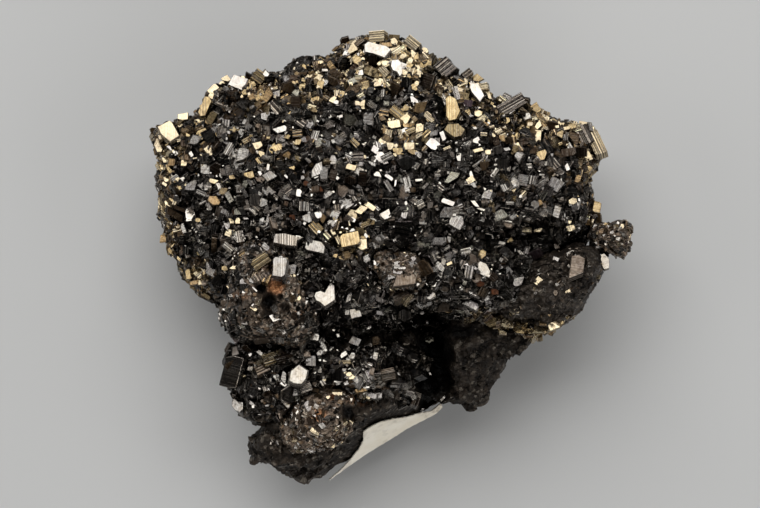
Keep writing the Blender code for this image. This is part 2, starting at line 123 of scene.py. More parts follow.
def surfaceTree(names):
    # all those solids as one surface, and which solid each face belongs to
    verts, faces, owners = [], [], []
    for name in names:
        bm = weldedMesh(name)
        start = len(verts)
        verts += [v.co.copy() for v in bm.verts]
        faces += [[start + v.index for v in f.verts] for f in bm.faces]
        owners += [name] * len(bm.faces)
        bm.free()
    return BVHTree.FromPolygons(verts, faces), owners


nodules = ["nodule_left", "nodule_right", "nub_right", "rosette_centre", "rosette_bottom"]
faceTree, faceOwners = surfaceTree([n for n in frame["nodes"] if n != "paper_label"])
rimLevel = 0.025  # height of the upper crust's widest part, in metres
skirtTop = 0.020  # below this its crystals make a skirt


def surfaceAt(u, v):
    # the point of the specimen seen at a pixel, and its solid
    origin, aim = pixelRay(u, v)
    point, _, face, _ = faceTree.ray_cast(origin, aim)
    if point is None:  # just past the outline
        rim = origin + aim * ((origin.z - rimLevel) / -aim.z)
        near, _, face, _ = faceTree.find_nearest(rim)
        point = Vector((rim.x, rim.y, max(near.z, skirtTop)))
    return point, faceOwners[face]


relief = {
    # mounds and hollows of the crust between its crystals
    "waviness": 0.9,  # mm, of the lumps some crystals wide
    "waveSize": 5.0,
    "fineWaves": (0.4, 0.3),  # size and height of finer ones, as shares of those
    # pixel, half sizes in pixels, depth in mm
    "hollows": [
        (422, 358, 30, 34, 6.0), (520, 232, 64, 9, 2.6), (352, 322, 24, 12, 2.6),
        (262, 340, 20, 10, 2.4), (240, 355, 30, 26, 1.6), (224, 110, 20, 12, 1.0),
        (340, 335, 30, 14, 1.6),
    ],
}


def hollowAt(point):
    # how far the crust falls back under the solid's surface there, in metres
    finer, lower = relief["fineWaves"]
    wave = 0.5 + 0.5 * noise.noise(point / (relief["waveSize"] * mm))
    wave += lower * noise.noise(point / (finer * relief["waveSize"] * mm) + elsewhere)
    depth = relief["waviness"] * max(wave, 0.0)
    here = toPixel(point)
    for *place, deep in relief["hollows"]:
        depth += deep * spot(here, *place)
    return depth * mm


class NodeBench:
    # places nodes in a material or a group and wires them up
    def __init__(self, tree):
        self.tree = tree

    def node(self, kind, settings=None, **inputs):
        made = self.tree.nodes.new("ShaderNode" + kind)
        for key, value in (settings or {}).items():
            setattr(made, key, value)
        for key, value in inputs.items():
            self.feed(made, key, value)
        return made

    def feed(self, made, key, value):
        index = int(key[1:]) if key[0] == "i" and key[1:].isdigit() else key.replace("_", " ")
        self.plug(made.inputs[index], value)

    def plug(self, socket, value):
        if isinstance(value, bpy.types.NodeSocket):
            self.tree.links.new(value, socket)
        else:
            socket.default_value = value

    def math(self, operation, a, b, clamp=False):
        settings = {"operation": operation, "use_clamp": clamp}
        return self.node("Math", settings, i0=a, i1=b).outputs[0]

    def plus(self, a, b, clamp=False):
        return self.math("ADD", a, b, clamp)

    def minus(self, a, b, clamp=False):
        return self.math("SUBTRACT", a, b, clamp)

    def times(self, a, b):
        return self.math("MULTIPLY", a, b)

    def vector(self, operation, a, b=(0.0, 0.0, 0.0)):
        return self.node("VectorMath", {"operation": operation}, i0=a, i1=b).outputs[0]

    def scaled(self, a, size):
        return self.node("VectorMath", {"operation": "SCALE"}, i0=a, Scale=size).outputs[0]

    def mix(self, share, a, b, blend="MIX"):
        made = self.node("Mix", {"data_type": "RGBA", "blend_type": blend})
        self.plug(made.inputs["Factor"], share)
        for index, value in ((6, a), (7, b)):
            if isinstance(value, tuple):
                value = (*value, 1.0)
            self.plug(made.inputs[index], value)
        return made.outputs[2]

    def ramp(self, value, low, high):
        return self.node("MapRange", Value=value, From_Min=low, From_Max=high).outputs[0]

    def noise(self, vector, scale, detail=3.0, rough=0.5):
        return self.node("TexNoise", Vector=vector, Scale=scale, Detail=detail,
                         Roughness=rough).outputs["Fac"]

    def lineNoise(self, place, detail):
        return self.node("TexNoise", {"noise_dimensions": "1D"}, W=place, Scale=1.0,
                         Detail=detail).outputs["Fac"]

    def cells(self, vector, scale, feature="F1"):
        return self.node("TexVoronoi", {"feature": feature}, Vector=vector, Scale=scale).outputs

    def bump(self, shader, look, height, **normal):
        made = self.node("Bump", Strength=look["bump"], Distance=look["bumpDepth"],
                         Height=height, **normal)
        self.feed(shader, "Normal", made.outputs[0])

    def attribute(self, name, output="Fac"):
        return self.node("Attribute", {"attribute_name": name}).outputs[output]

    def place(self):
        return self.node("TexCoord").outputs["Object"]


def newGroup(name, inputs, **outputs):
    # inputs are numbers with their usual values, and each output says of what kind it is
    tree = bpy.data.node_groups.new(name, "ShaderNodeTree")
    for socket, value in inputs.items():
        made = tree.interface.new_socket(socket, in_out="INPUT", socket_type="NodeSocketFloat")
        made.default_value = value
    for socket, kind in outputs.items():
        tree.interface.new_socket(socket, in_out="OUTPUT", socket_type="NodeSocket" + kind)
    entry = tree.nodes.new("NodeGroupInput").outputs
    result = tree.nodes.new("NodeGroupOutput").inputs
    return NodeBench(tree), entry, result


def makeStriation():
    # growth lines round a crystal, at right angles to its axis: dark lines, in part painted shade
    # of the growth steps, and thin pale lines, painted glints
    bench, entry, result = newGroup("striation", {"Fineness": 4.5, "Seed": 0.0},
                                    Lines="Float", Glints="Float")
    place = bench.plus(bench.times(bench.attribute("along"), entry["Fineness"]), entry["Seed"])
    coarse = bench.lineNoise(place, 1.0)
    fine = bench.lineNoise(bench.times(place, 2.6), 1.0)
    both = bench.plus(bench.times(coarse, 0.6), bench.times(fine, 0.4))
    bench.plug(result["Lines"], bench.ramp(both, 0.42, 0.58))
    thin = bench.lineNoise(bench.plus(bench.times(place, 1.7), 31.0), 0.0)
    bench.plug(result["Glints"], bench.ramp(thin, 0.60, 0.68))
    return bench.tree


def makeTarnish():
    # thin film in patches, from clean metal to dull, and its faint colours
    bench, entry, result = newGroup("tarnish", {"Size": 300.0, "Amount": 0.5},
                                    Mask="Float", Film="Color")
    place = bench.place()
    broad = bench.noise(place, entry["Size"], 4.0, 0.6)
    bench.plug(result["Mask"], bench.times(bench.ramp(broad, 0.38, 0.68), entry["Amount"]))
    hue = bench.ramp(bench.noise(place, bench.times(entry["Size"], 0.6), 2.0), 0.42, 0.6)
    bench.plug(result["Film"], bench.mix(hue, (0.62, 0.56, 0.62), (0.78, 0.66, 0.48)))
    return bench.tree


def makeGrit():
    # crystalline grit of a broken or finely grown surface
    bench, entry, result = newGroup("grit", {"Size": 1500.0},
                                    Height="Float", Speckle="Float", Patches="Float")
    place = bench.place()
    cells = bench.cells(place, entry["Size"])
    broad = bench.noise(place, bench.times(entry["Size"], 0.22), 5.0, 0.62)
    bench.plug(result["Height"], bench.plus(bench.times(cells["Distance"], 0.6), broad))
    parts = bench.node("SeparateColor", Color=cells["Color"]).outputs
    bench.plug(result["Speckle"], bench.ramp(parts[0], 0.82, 0.98))
    bench.plug(result["Patches"], bench.ramp(broad, 0.35, 0.68))
    return bench.tree


def makeMosaic():
    # a face broken up into small patches that each look a slightly different way
    bench, entry, result = newGroup("mosaic", {"Size": 1200.0, "Unevenness": 0.1},
                                    Normal="Vector", Value="Float")
    cells = bench.cells(bench.place(), entry["Size"])
    tilt = bench.vector("SUBTRACT", cells["Color"], (0.5, 0.5, 0.5))
    tilt = bench.scaled(tilt, entry["Unevenness"])
    bent = bench.vector("ADD", bench.node("NewGeometry").outputs["Normal"], tilt)
    bench.plug(result["Normal"], bench.vector("NORMALIZE", bent))
    parts = bench.node("SeparateColor", Color=cells["Color"]).outputs
    bench.plug(result["Value"], bench.ramp(parts[1], 0.35, 0.95))
    return bench.tree


def makeCracks():
    # thin open cracks and bedding lines, 1 along their middle
    bench, entry, result = newGroup("cracks", {"Size": 130.0, "Width": 0.05}, Cracks="Float")
    place = bench.place()
    warp = bench.node("TexNoise", Vector=place, Scale=420.0, Detail=3.0).outputs["Color"]
    turned = bench.node("Mapping", Vector=place, Rotation=(0.0, 0.0, 0.45), Scale=(0.55, 1.5, 1.0))
    bent = bench.vector("ADD", turned.outputs[0], bench.scaled(warp, 0.004))
    edge = bench.cells(bent, entry["Size"], "DISTANCE_TO_EDGE")["Distance"]
    lines = bench.minus(1.0, bench.math("DIVIDE", edge, entry["Width"]), True)
    gaps = bench.ramp(bench.noise(place, 260.0, 2.0), 0.46, 0.58)
    bench.plug(result["Cracks"], bench.times(lines, gaps))
    return bench.tree


striation = makeStriation()
tarnish = makeTarnish()
grit = makeGrit()
mosaic = makeMosaic()
cracks = makeCracks()


def newMaterial(name):
    material = bpy.data.materials.new(name)
    material.use_nodes = True
    return material, NodeBench(material.node_tree), material.node_tree.nodes["Principled BSDF"]


def placeGroup(bench, tree, **inputs):
    made = bench.tree.nodes.new("ShaderNodeGroup")
    made.node_tree = tree
    for key, value in inputs.items():
        bench.feed(made, key, value)
    return made.outputs


def crystalMetal(name, look):
    # faces of the crystals: each brings its own shade and dullness with its mesh
    material, bench, shader = newMaterial(name)
    shade = bench.attribute("shade", "Color")
    dull = bench.attribute("dull")
    hatch = bench.attribute("hatch")
    growth = placeGroup(bench, striation, Fineness=look["fineness"], Seed=look["seed"])
    patches = placeGroup(bench, mosaic, Size=look["patchworkSize"], Unevenness=look["uneven"])
    film = placeGroup(bench, tarnish, Size=look["patchSize"], Amount=look["tarnish"])
    fine = placeGroup(bench, grit, Size=look["gritSize"])
    lines = bench.times(growth["Lines"], hatch)
    paintedGlints = bench.times(growth["Glints"], hatch)
    # dark growth lines, in part painted shade of their steps
    color = bench.mix(bench.times(lines, look["lineDepth"]), shade, look["lineColor"], "MULTIPLY")
    # painted glints: pale lines put into the colour
    color = bench.mix(bench.times(paintedGlints, look["glint"]), color, look["paintedGlintColor"])
    color = bench.mix(film["Mask"], color, film["Film"], "MULTIPLY")
    bright = bench.node("RGBToBW", Color=shade).outputs[0]
    calm = bench.minus(1.0, bench.times(bright, look["calm"]), True)
    broken = bench.times(patches["Value"], bench.times(calm, look["patchwork"]))
    for share in (broken, bench.times(fine["Patches"], dull)):
        color = bench.mix(share, color, look["crumbs"], "MULTIPLY")
    bench.feed(shader, "Base Color", color)
    rough = bench.plus(look["roughness"], bench.times(film["Mask"], look["filmRoughness"]))
    rough = bench.plus(rough, bench.times(dull, look["dullRoughness"]), True)
    bench.feed(shader, "Roughness", rough)
    shader.inputs["Metallic"].default_value = look["metallic"]
    height = bench.minus(bench.times(fine["Height"], look["gritHeight"]),
                         bench.times(lines, look["lineHeight"]))
    bench.bump(shader, look, height, Normal=patches["Normal"])
    return material


crystalLook = {
    "fineness": 4.6,
    "seed": 3.0,
    "patchSize": 420.0,
    "tarnish": 0.5,
    "gritSize": 2600.0,
    # growth lines are darkened, in part painted shade, and glints are painted as pale lines
    "lineColor": (0.10, 0.08, 0.06),
    "lineDepth": 0.9,
    "paintedGlintColor": (0.50, 0.46, 0.40),
    "glint": 0.6,
    "patchworkSize": 1900.0,
    "uneven": 0.16,
    "patchwork": 0.8,
    "calm": 1.35,  # how much less of it the bright faces have
    "crumbs": (0.36, 0.30, 0.25),
    "roughness": 0.2,
    "filmRoughness": 0.16,
    "dullRoughness": 0.45,
    "metallic": 0.9,
    "gritHeight": 0.3,
    "lineHeight": 0.9,
    "bump": 0.4,
    "bumpDepth": 0.0001,
}
druseMetal = crystalMetal("druseMetal", crystalLook)
steelMetal = crystalMetal("steelMetal", crystalLook | {"seed": 11.0, "fineness": 4.0})
brassMetal = crystalMetal("brassMetal", crystalLook | {"seed": 23.0, "fineness": 3.8})


def stoneSkin(name, look):
    # dull stone with grit, dust in patches, cracks, painted shade in its pits and a few glinting
    # grains
    material, bench, shader = newMaterial(name)
    fine = placeGroup(bench, grit, Size=look["gritSize"])
    coarse = placeGroup(bench, grit, Size=look["gritSize"] * look["coarseSize"])
    film = placeGroup(bench, tarnish, Size=look["patchSize"], Amount=1.0)
    split = placeGroup(bench, cracks, Size=look["crackSize"], Width=look["crackWidth"])["Cracks"]
    patches = placeGroup(bench, mosaic, Size=look["facetSize"], Unevenness=look["uneven"])
    ridges = bench.ramp(bench.node("NewGeometry").outputs["Pointiness"], 0.50, 0.58)
    color = bench.mix(fine["Patches"], look["dark"], look["mid"])
    for share, tint in (
        (bench.times(film["Mask"], look["dust"]), "dustColor"),
        (bench.times(coarse["Speckle"], look["darkGrains"]), "dark"),
        (bench.times(ridges, look["wear"]), "wornColor"),
        (bench.times(fine["Speckle"], look["speckle"]), "speckleColor"),
        (bench.times(patches["Value"], look["darkFacets"]), "dark"),
        (bench.attribute("stain"), "stainColor"),
        # painted shade in the pits
        (bench.attribute("pitShade"), "crackAndPitShadeColor"),
        (split, "crackAndPitShadeColor"),
    ):
        color = bench.mix(share, color, look[tint])
    bench.feed(shader, "Base Color", color)
    glint = bench.times(fine["Speckle"], look["speckleGloss"])
    bench.feed(shader, "Roughness", bench.minus(look["roughness"], glint, True))
    shader.inputs["Metallic"].default_value = look["metallic"]
    shader.inputs["Specular IOR Level"].default_value = look["specular"]
    height = bench.plus(fine["Height"], bench.times(coarse["Height"], look["coarseHeight"]))
    height = bench.minus(height, bench.times(split, look["crackDepth"]))
    bench.bump(shader, look, height, Normal=patches["Normal"])
    return material


stoneLook = {
    "gritSize": 1500.0,
    "coarseSize": 0.25,  # of the coarser grit, as a share
    "coarseHeight": 2.5,
    "patchSize": 260.0,
    "facetSize": 900.0,
    "uneven": 0.35,
    "crackSize": 150.0,
    "crackWidth": 0.035,
    "crackDepth": 3.0,
    "crackAndPitShadeColor": (0.004, 0.0035, 0.003),
    "stainColor": (0.58, 0.27, 0.12),
    "dark": (0.005, 0.0037, 0.0027),
    "darkGrains": 0.5,
    "darkFacets": 0.6,
    "mid": (0.027, 0.0195, 0.0135),
    "dust": 0.3,
    "dustColor": (0.060, 0.042, 0.028),
    "wear": 0.4,
    "wornColor": (0.13, 0.10, 0.075),
    "speckle": 0.45,
    "speckleColor": (0.30, 0.26, 0.21),
    "speckleGloss": 0.35,
    "roughness": 0.58,
    "metallic": 0.2,
    "specular": 0.2,
    "bump": 0.9,
    "bumpDepth": 0.0005,
}
rockSkin = stoneSkin("rockSkin", stoneLook)
noduleSkin = stoneSkin("noduleSkin", stoneLook | {
    "gritSize": 2000.0, "dark": (0.022, 0.015, 0.011), "mid": (0.52, 0.39, 0.29),
    "dustColor": (0.60, 0.445, 0.325), "metallic": 0.5, "roughness": 0.36, "speckle": 0.8,
    "speckleColor": (0.85, 0.76, 0.62),
    "crackSize": 420.0, "crackWidth": 0.06, "facetSize": 1700.0, "uneven": 0.8})
leatherSkin = stoneSkin("leatherSkin", stoneLook | {
    "gritSize": 1300.0, "dark": (0.012, 0.0095, 0.008), "mid": (0.052, 0.040, 0.030),
    "dustColor": (0.10, 0.078, 0.058), "metallic": 0.45, "roughness": 0.36, "speckle": 0.3,
    "crackSize": 330.0, "crackWidth": 0.05, "facetSize": 800.0, "uneven": 0.45})
# painted shade: near-black ground for the gaps between the crystals
crustShadow = stoneSkin("crustShadow", stoneLook | {
    "dark": (0.0025, 0.002, 0.0016), "mid": (0.020, 0.0155, 0.0115), "dust": 0.1, "wear": 0.0,
    "dustColor": (0.04, 0.03, 0.02), "speckle": 0.5, "metallic": 0.85, "roughness": 0.26,
    "facetSize": 1500.0, "uneven": 1.3})


def paperSkin(look):
    material, bench, shader = newMaterial("oldPaper")
    place = bench.place()
    fibres = bench.noise(place, look["fibreSize"], 4.0, 0.7)
    stain = bench.ramp(bench.noise(place, look["stainSize"], 4.0, 0.6), 0.40, 0.66)
    dirt = placeGroup(bench, grit, Size=look["dirtSize"])["Speckle"]
    color = bench.mix(stain, look["clean"], look["aged"])
    color = bench.mix(bench.times(fibres, look["fibreShare"]), color, look["fibre"], "MULTIPLY")
    color = bench.mix(bench.times(dirt, look["dirtShare"]), color, look["dirt"])
    color = bench.mix(bench.attribute("worn"), color, look["wornColor"])
    bench.feed(shader, "Base Color", color)
    shader.inputs["Roughness"].default_value = look["roughness"]
    bench.bump(shader, look, fibres)
    return material


oldPaper = paperSkin({
    "clean": (0.94, 0.885, 0.77),
    "aged": (0.86, 0.79, 0.65),
    "stainSize": 150.0,
    "fibre": (0.85, 0.81, 0.72),
    "fibreSize": 5200.0,
    "fibreShare": 0.25,
    "dirt": (0.25, 0.20, 0.15),
    "dirtSize": 900.0,
    "dirtShare": 0.18,
    "wornColor": (0.20, 0.14, 0.09),
    "roughness": 0.85,
    "bump": 0.25,
    "bumpDepth": 0.0001,
})
print("materials made")

finishes = {
    # colour, how much crystals differ, how much the plates of one differ, dullness
    # one metal throughout: black and dark are painted shade, cream and white in part painted
    # highlight
    "black": ((0.0035, 0.003, 0.0028), 0.3, 0.5, 0.0),
    "dark": ((0.024, 0.021, 0.0185), 0.4, 0.7, 0.0),
    "iron": ((0.095, 0.090, 0.084), 0.35, 0.55, 0.0),
    "grey": ((0.20, 0.190, 0.178), 0.25, 0.5, 0.0),
    "pale": ((0.37, 0.35, 0.322), 0.25, 0.45, 0.0),
    "white": ((0.55, 0.515, 0.462), 0.12, 0.35, 0.0),
    "bone": ((0.45, 0.42, 0.37), 0.1, 0.35, 0.0),
    "lilac": ((0.36, 0.322, 0.335), 0.1, 0.3, 0.0),
    "sage": ((0.32, 0.31, 0.255), 0.2, 0.4, 0.0),
    "taupe": ((0.215, 0.172, 0.134), 0.25, 0.6, 0.2),
    "umber": ((0.050, 0.032, 0.020), 0.35, 0.6, 0.1),
    "brown": ((0.14, 0.094, 0.054), 0.3, 0.6, 0.1),
    "olive": ((0.25, 0.190, 0.098), 0.25, 0.6, 0.0),
    "brass": ((0.47, 0.355, 0.185), 0.2, 0.55, 0.0),
    "amber": ((0.44, 0.30, 0.145), 0.2, 0.5, 0.1),
    "cream": ((0.64, 0.535, 0.355), 0.14, 0.4, 0.0),
    "rust": ((0.26, 0.105, 0.05), 0.2, 0.3, 0.9),
    "violet": ((0.13, 0.090, 0.105), 0.2, 0.4, 0.2),
    "pitted": ((0.72, 0.67, 0.61), 0.05, 0.3, 0.8),
    "ruled": ((0.58, 0.53, 0.465), 0.05, 0.3, 0.0),
    "lined": ((0.080, 0.070, 0.060), 0.3, 4.5, 0.0),  # every other plate this much brighter, a painted highlight on alternate plates
    "banded": ((0.125, 0.088, 0.045), 0.3, 4.5, 0.0),
}
# how strong the fine growth lines are on a broad face
faceLines = {"white": 0.12, "bone": 0.2, "ruled": 1.0, "cream": 0.25, "others": 0.45}

outlineLook = {
    # how often each outline comes, the rest being six-sided
    "broken": 0.6,
    "cut": 0.1,
    "slim": 0.72,  # narrower than this they are never six-sided
    "sixUneven": 0.45,
    "cutCorner": (0.2, 0.9),  # shares of the shorter half size
    "skew": 0.35,
    "sides": (0.78, 1.0),
    "brokenCorner": 0.55,  # how often a corner is off
    "brokenShare": (0.2, 0.7),  # and how much of the two sides goes with it
    "edgeEnds": (0.70, 0.92),  # width of the upper and lower side of a stack on its edge
    "edgeMiddle": -0.1,  # where between the two it is widest
}
cos60, sin60 = 0.5, 0.8660254


def hexagon(longHalf, shortHalf, uneven):
    # a six-sided outline with uneven sides, that wide and that high
    reach = [1.0 - uneven * rng.random() for _ in range(6)]
    corners = []
    for k in range(6):
        a, b = reach[k], reach[(k + 1) % 6]
        angle = math.radians(60 * k)
        across = (b - a * cos60) / sin60
        corners.append((a * math.cos(angle) - across * math.sin(angle),
                        a * math.sin(angle) + across * math.cos(angle)))
    wide = max(abs(x) for x, _ in corners)
    high = max(abs(y) for _, y in corners)
    return [(x * longHalf / wide, y * shortHalf / high) for x, y in corners]


def cutBlock(longHalf, shortHalf):
    # a block's outline with two opposite corners cut off
    a, b = longHalf, shortHalf
    c, d, e, f = (rng.uniform(*outlineLook["cutCorner"]) * min(a, b) for _ in range(4))
    corners = [(a, -b), (a, b - c), (a - d, b), (-a, b), (-a, -b + e), (-a + f, -b)]
    if rng.random() < 0.5:
        corners = [(-x, y) for x, y in reversed(corners)]
    return corners


def brokenBlock(longHalf, shortHalf):
    # a skewed block's outline, sometimes with a corner broken off
    skew = rng.uniform(-outlineLook["skew"], outlineLook["skew"])
    corners = []
    for x, y in ((1, -1), (1, 1), (-1, 1), (-1, -1)):
        x, y = (side * rng.uniform(*outlineLook["sides"]) for side in (x, y))
        corners.append(((x + skew * y) * longHalf / (1 + 0.5 * abs(skew)), y * shortHalf))
    if rng.random() < outlineLook["brokenCorner"]:
        k = rng.randrange(4)
        (ax, ay), (bx, by), (cx, cy) = corners[k - 1], corners[k], corners[(k + 1) % 4]
        s, t = (rng.uniform(*outlineLook["brokenShare"]) for _ in range(2))
        corners[k:k + 1] = [(bx + (ax - bx) * s, by + (ay - by) * s),
                            (bx + (cx - bx) * t, by + (cy - by) * t)]
    return corners


def anyOutline(longHalf, shortHalf, uneven=outlineLook["sixUneven"]):
    kind = rng.random()
    if kind < outlineLook["broken"]:
        return brokenBlock(longHalf, shortHalf)
    slim = shortHalf < outlineLook["slim"] * longHalf
    if slim or kind < outlineLook["broken"] + outlineLook["cut"]:
        return cutBlock(longHalf, shortHalf)
    return hexagon(longHalf, shortHalf, uneven)


def newHeap():
    # crystals to be joined in one mesh, with what their material reads
    return {"verts": [], "faces": [], "along": [], "shade": [], "dull": [], "hatch": []}


sliver = 0.45 * mm  # smaller radii than this have no bevel, and in the crust at most four sides
stackLook = {
    # heights as shares of a plate's thickness, widths as shares of the radius
    "sides": (0.06, 0.84),  # where its upright sides start and end
    "groove": (0.95, 0.08),  # height and depth of the groove over it
    # painted shade: the band round each groove between plates is darkened to this share
    "paintedGrooveShade": 0.3,
    "narrower": 0.12,  # how much plates of a stack differ in width
    "bevel": (0.05, 0.3),  # at most this share of the radius, and of the thickness
    "edge": (1.3, 0.28),  # painted highlight on the bevel: its least gain in brightness, and its most brightness
    "sideShades": (0.85, 1.15),
    "brightest": 0.9,
}


def stackRings(plates, thickness, contrast):
    # height, share of the outline, and brightness of the faces above it, from the bottom up
    layer = thickness / plates
    bottom, top = stackLook["sides"]
    grooveAt, grooveDepth = stackLook["groove"]
    shadow = stackLook["paintedGrooveShade"]
    rings = []
    for plate in range(plates):
        share = 1.0 - (rng.random() * stackLook["narrower"] if plates > 1 else 0.0)
        low = -0.5 * thickness + plate * layer
        if contrast > 1.0:
            bright = contrast if plate % 2 else 1.0
        else:
            bright = 1.0 + rng.uniform(-contrast, contrast)
        rings.append((low + bottom * layer, share, bright))
        # the groove band is painted dark, painted shade
        rings.append((low + top * layer, share, shadow))
        if plate < plates - 1:
            rings.append((low + grooveAt * layer, share - grooveDepth, shadow))
    return rings


def growCrystal(heap, centre, axis, side, other, outline, thickness, plates, finish):
    # a stack of plates with that outline, each a little wider or narrower, grooves between
    color, spread, contrast, dull = finishes[finish]
    light = 1.0 + rng.uniform(-spread, spread)
    radius = max(abs(x) for x, _ in outline) * side.length
    ofRadius, ofThickness = stackLook["bevel"]
    bevel = min(ofRadius * radius, ofThickness * (thickness / plates))
    # the bevel ring is painted brighter, a painted highlight along each crystal's upper edge
    leastGain, mostBright = stackLook["edge"]
    edge = max(leastGain, rng.random() * mostBright / max(color))
    rings = stackRings(plates, thickness, contrast)
    _, share, _ = rings.pop()
    if radius < sliver:
        rings.append((0.5 * thickness, share, 1.0))
    else:
        rings.append((0.5 * thickness - bevel, share, edge))
        rings.append((0.5 * thickness, share * (1.0 - bevel / radius), 1.0))
    sides = len(outline)
    start = len(heap["verts"])
    seed = rng.random() * 40.0
    rings.insert(0, rings[0])  # the two ends have corners of their own
    rings.append(rings[-1])
    ends = (0, len(rings) - 1)
    for ring, (height, share, _) in enumerate(rings):
        for x, y in outline:
            heap["verts"].append(centre + side * (x * share) + other * (y * share) + axis * height)
            heap["along"].append((x * side.length if ring in ends else height) / mm + seed)
    cap = faceLines.get(finish, faceLines["others"])
    faces = [([start + sides - 1 - k for k in range(sides)], 1.0, cap)]
    for ring in range(1, len(rings) - 2):
        base = start + sides * ring
        for k in range(sides):
            j = (k + 1) % sides
            faces.append(([base + k, base + j, base + sides + j, base + sides + k],
                          rings[ring][2] * rng.uniform(*stackLook["sideShades"]), 1.0))
    top = start + sides * (len(rings) - 1)
    faces.append(([top + k for k in range(sides)], 1.0, cap))
    for corners, bright, hatch in faces:
        heap["faces"].append(corners)
        heap["shade"] += [min(c * light * bright, stackLook["brightest"]) for c in color] + [1.0]
        heap["dull"].append(dull)
        heap["hatch"].append(hatch)


def heapObject(name, heap, material):
    mesh = bpy.data.meshes.new(name)
    mesh.from_pydata(heap["verts"], [], heap["faces"])
    mesh.attributes.new("along", "FLOAT", "POINT").data.foreach_set("value", heap["along"])
    mesh.attributes.new("shade", "FLOAT_COLOR", "FACE").data.foreach_set("color", heap["shade"])
    for key in ("dull", "hatch"):
        mesh.attributes.new(key, "FLOAT", "FACE").data.foreach_set("value", heap[key])
    mesh.materials.append(material)
    return addObject(name, mesh)


def standFor(obj, node):
    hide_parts(node)
    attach(obj, "root")


def leaning(lean, way):
    # an axis this far from upright, leaning towards that side of the picture
    lean, way = math.radians(lean), math.radians(way)
    return Vector((math.sin(lean) * math.cos(way), math.sin(lean) * math.sin(way), math.cos(lean)))


shine = {
    # in degrees
    "way": 98.0,  # side of the picture that the key light is on
    "lean": 19.0,  # how far a face leans to that side when it mirrors the light
    "leanSpread": 5,  # how much glossy plates differ from those two
    "waySpread": 18,
    "middlingLeans": (10, 30),
    "darkLeans": (12, 34),
    "looseSpread": 60,  # how much the others differ in the way they lean
    "edgeLean": 72,  # of stacks that lie on their edge without mirroring the light
    "edgeLeanSpread": 3,
    "edgeWaySpread": 12,
}
glossy = {"white", "bone", "cream", "pale", "lilac", "brass", "lined", "banded", "ruled"}
middling = {"amber", "sage", "grey", "taupe", "olive"}


def leanFor(finish):
    # how a plate must lean to shine, or not, under the key light
    if finish in glossy:
        return (rng.gauss(shine["lean"], shine["leanSpread"]),
                shine["way"] + rng.gauss(0, shine["waySpread"]))
    if finish in middling:
        return (rng.uniform(*shine["middlingLeans"]),
                shine["way"] + rng.gauss(0, shine["looseSpread"]))
    return (rng.uniform(*shine["darkLeans"]),
            shine["way"] + 180 + rng.gauss(0, shine["looseSpread"]))


def pictureSteps(axis, angle):
    # one step along that angle of the picture and one across it, on the plate's plane
    turn = math.radians(angle)
    return [Vector((x, y, -(axis.x * x + axis.y * y) / axis.z))
            for x, y in ((math.cos(turn), math.sin(turn)), (-math.sin(turn), math.cos(turn)))]


knownLook = {
    # the crystals told apart in the photograph, in mm unless said
    "lift": 0.1,  # how far they stand above the crust
    "largeLift": 0.15,
    "sunk": 0.75,  # share of the crust's hollows that they follow
    "plate": 0.45,  # thickness of one plate of a stack
    "mostPlates": 5,
    "faceUneven": 0.22,
    "faceThick": (0.5, 0.35),  # least thickness and what can be added, as shares of their length
    "faceThinnest": 0.7,
    "edgeDeep": 0.75,  # as a share of their length
    "edgeLeastDeep": 0.8,
    "edgeThinnest": 0.25,
    "keepOff": 0.8,  # share of their radius that the crust keeps clear
}


def seat(u, v, lift):
    # how high a crystal stands at that pixel
    point, node = surfaceAt(u, v)
    sunk = 0.0 if node.startswith("crystal_") else knownLook["sunk"] * hollowAt(point)
    return point + Vector((0, 0, lift * mm - sunk))


def growFaceOn(heap, u, v, longHalf, shortHalf, angle, finish, lean=None, way=None,
               lift=knownLook["lift"]):
    # a plate with its broad face up that fills that outline in the photograph
    if lean is None:
        lean, way = leanFor(finish)
    axis = leaning(lean, way)
    outline = anyOutline(longHalf * pixel, shortHalf * pixel, knownLook["faceUneven"])
    least, more = knownLook["faceThick"]
    thick = max(knownLook["faceThinnest"] * mm, (least + more * rng.random()) * longHalf * pixel)
    plates = max(1, min(knownLook["mostPlates"], round(thick / (knownLook["plate"] * mm))))
    top = seat(u, v, lift)
    growCrystal(heap, top - axis * (0.5 * thick), axis, *pictureSteps(axis, angle), outline,
                thick, plates, finish)
    return top, longHalf * pixel


def growPlate(heap, corners, finish, lean, way, thick, lift=knownLook["lift"]):
    # a large plate with the corners that it shows in the photograph
    axis = leaning(lean, way)
    u = sum(c[0] for c in corners) / len(corners)
    v = sum(c[1] for c in corners) / len(corners)
    outline = [((cu - u) * pixel, (v - cv) * pixel) for cu, cv in corners]
    turning = sum(ax * by - ay * bx for (ax, ay), (bx, by)
                  in zip(outline, outline[1:] + outline[:1]))
    if turning < 0:
        outline.reverse()
    plates = max(1, round(thick / knownLook["plate"]))
    top = seat(u, v, lift)
    growCrystal(heap, top - axis * (0.5 * thick * mm), axis, *pictureSteps(axis, 0), outline,
                thick * mm, plates, finish)
    return top, max(math.hypot(x, y) for x, y in outline)


def edgeAxes(way, shines):
    # for a stack on its edge: its axis, leaning along that line of the picture, the line of
    # its plates, and the way its upper side looks, which mirrors the light if it shines
    if not shines:
        axis = leaning(shine["edgeLean"], way)
        up = axis.cross(Vector((0, 0, 1))).cross(axis).normalized()
        return axis, up.cross(axis), up
    facing = math.cos(math.radians(way - shine["way"]))
    if facing > 0:
        way, facing = way + 180, -facing
    lean = math.degrees(math.atan2(1.0, -math.tan(math.radians(shine["lean"])) * facing))
    axis = leaning(lean + rng.gauss(0, shine["edgeLeanSpread"]), way)
    up = leaning(shine["lean"] + rng.gauss(0, shine["leanSpread"]),
                 shine["way"] + rng.gauss(0, shine["edgeWaySpread"]))
    up = (up - axis * up.dot(axis)).normalized()
    return axis, up.cross(axis), up


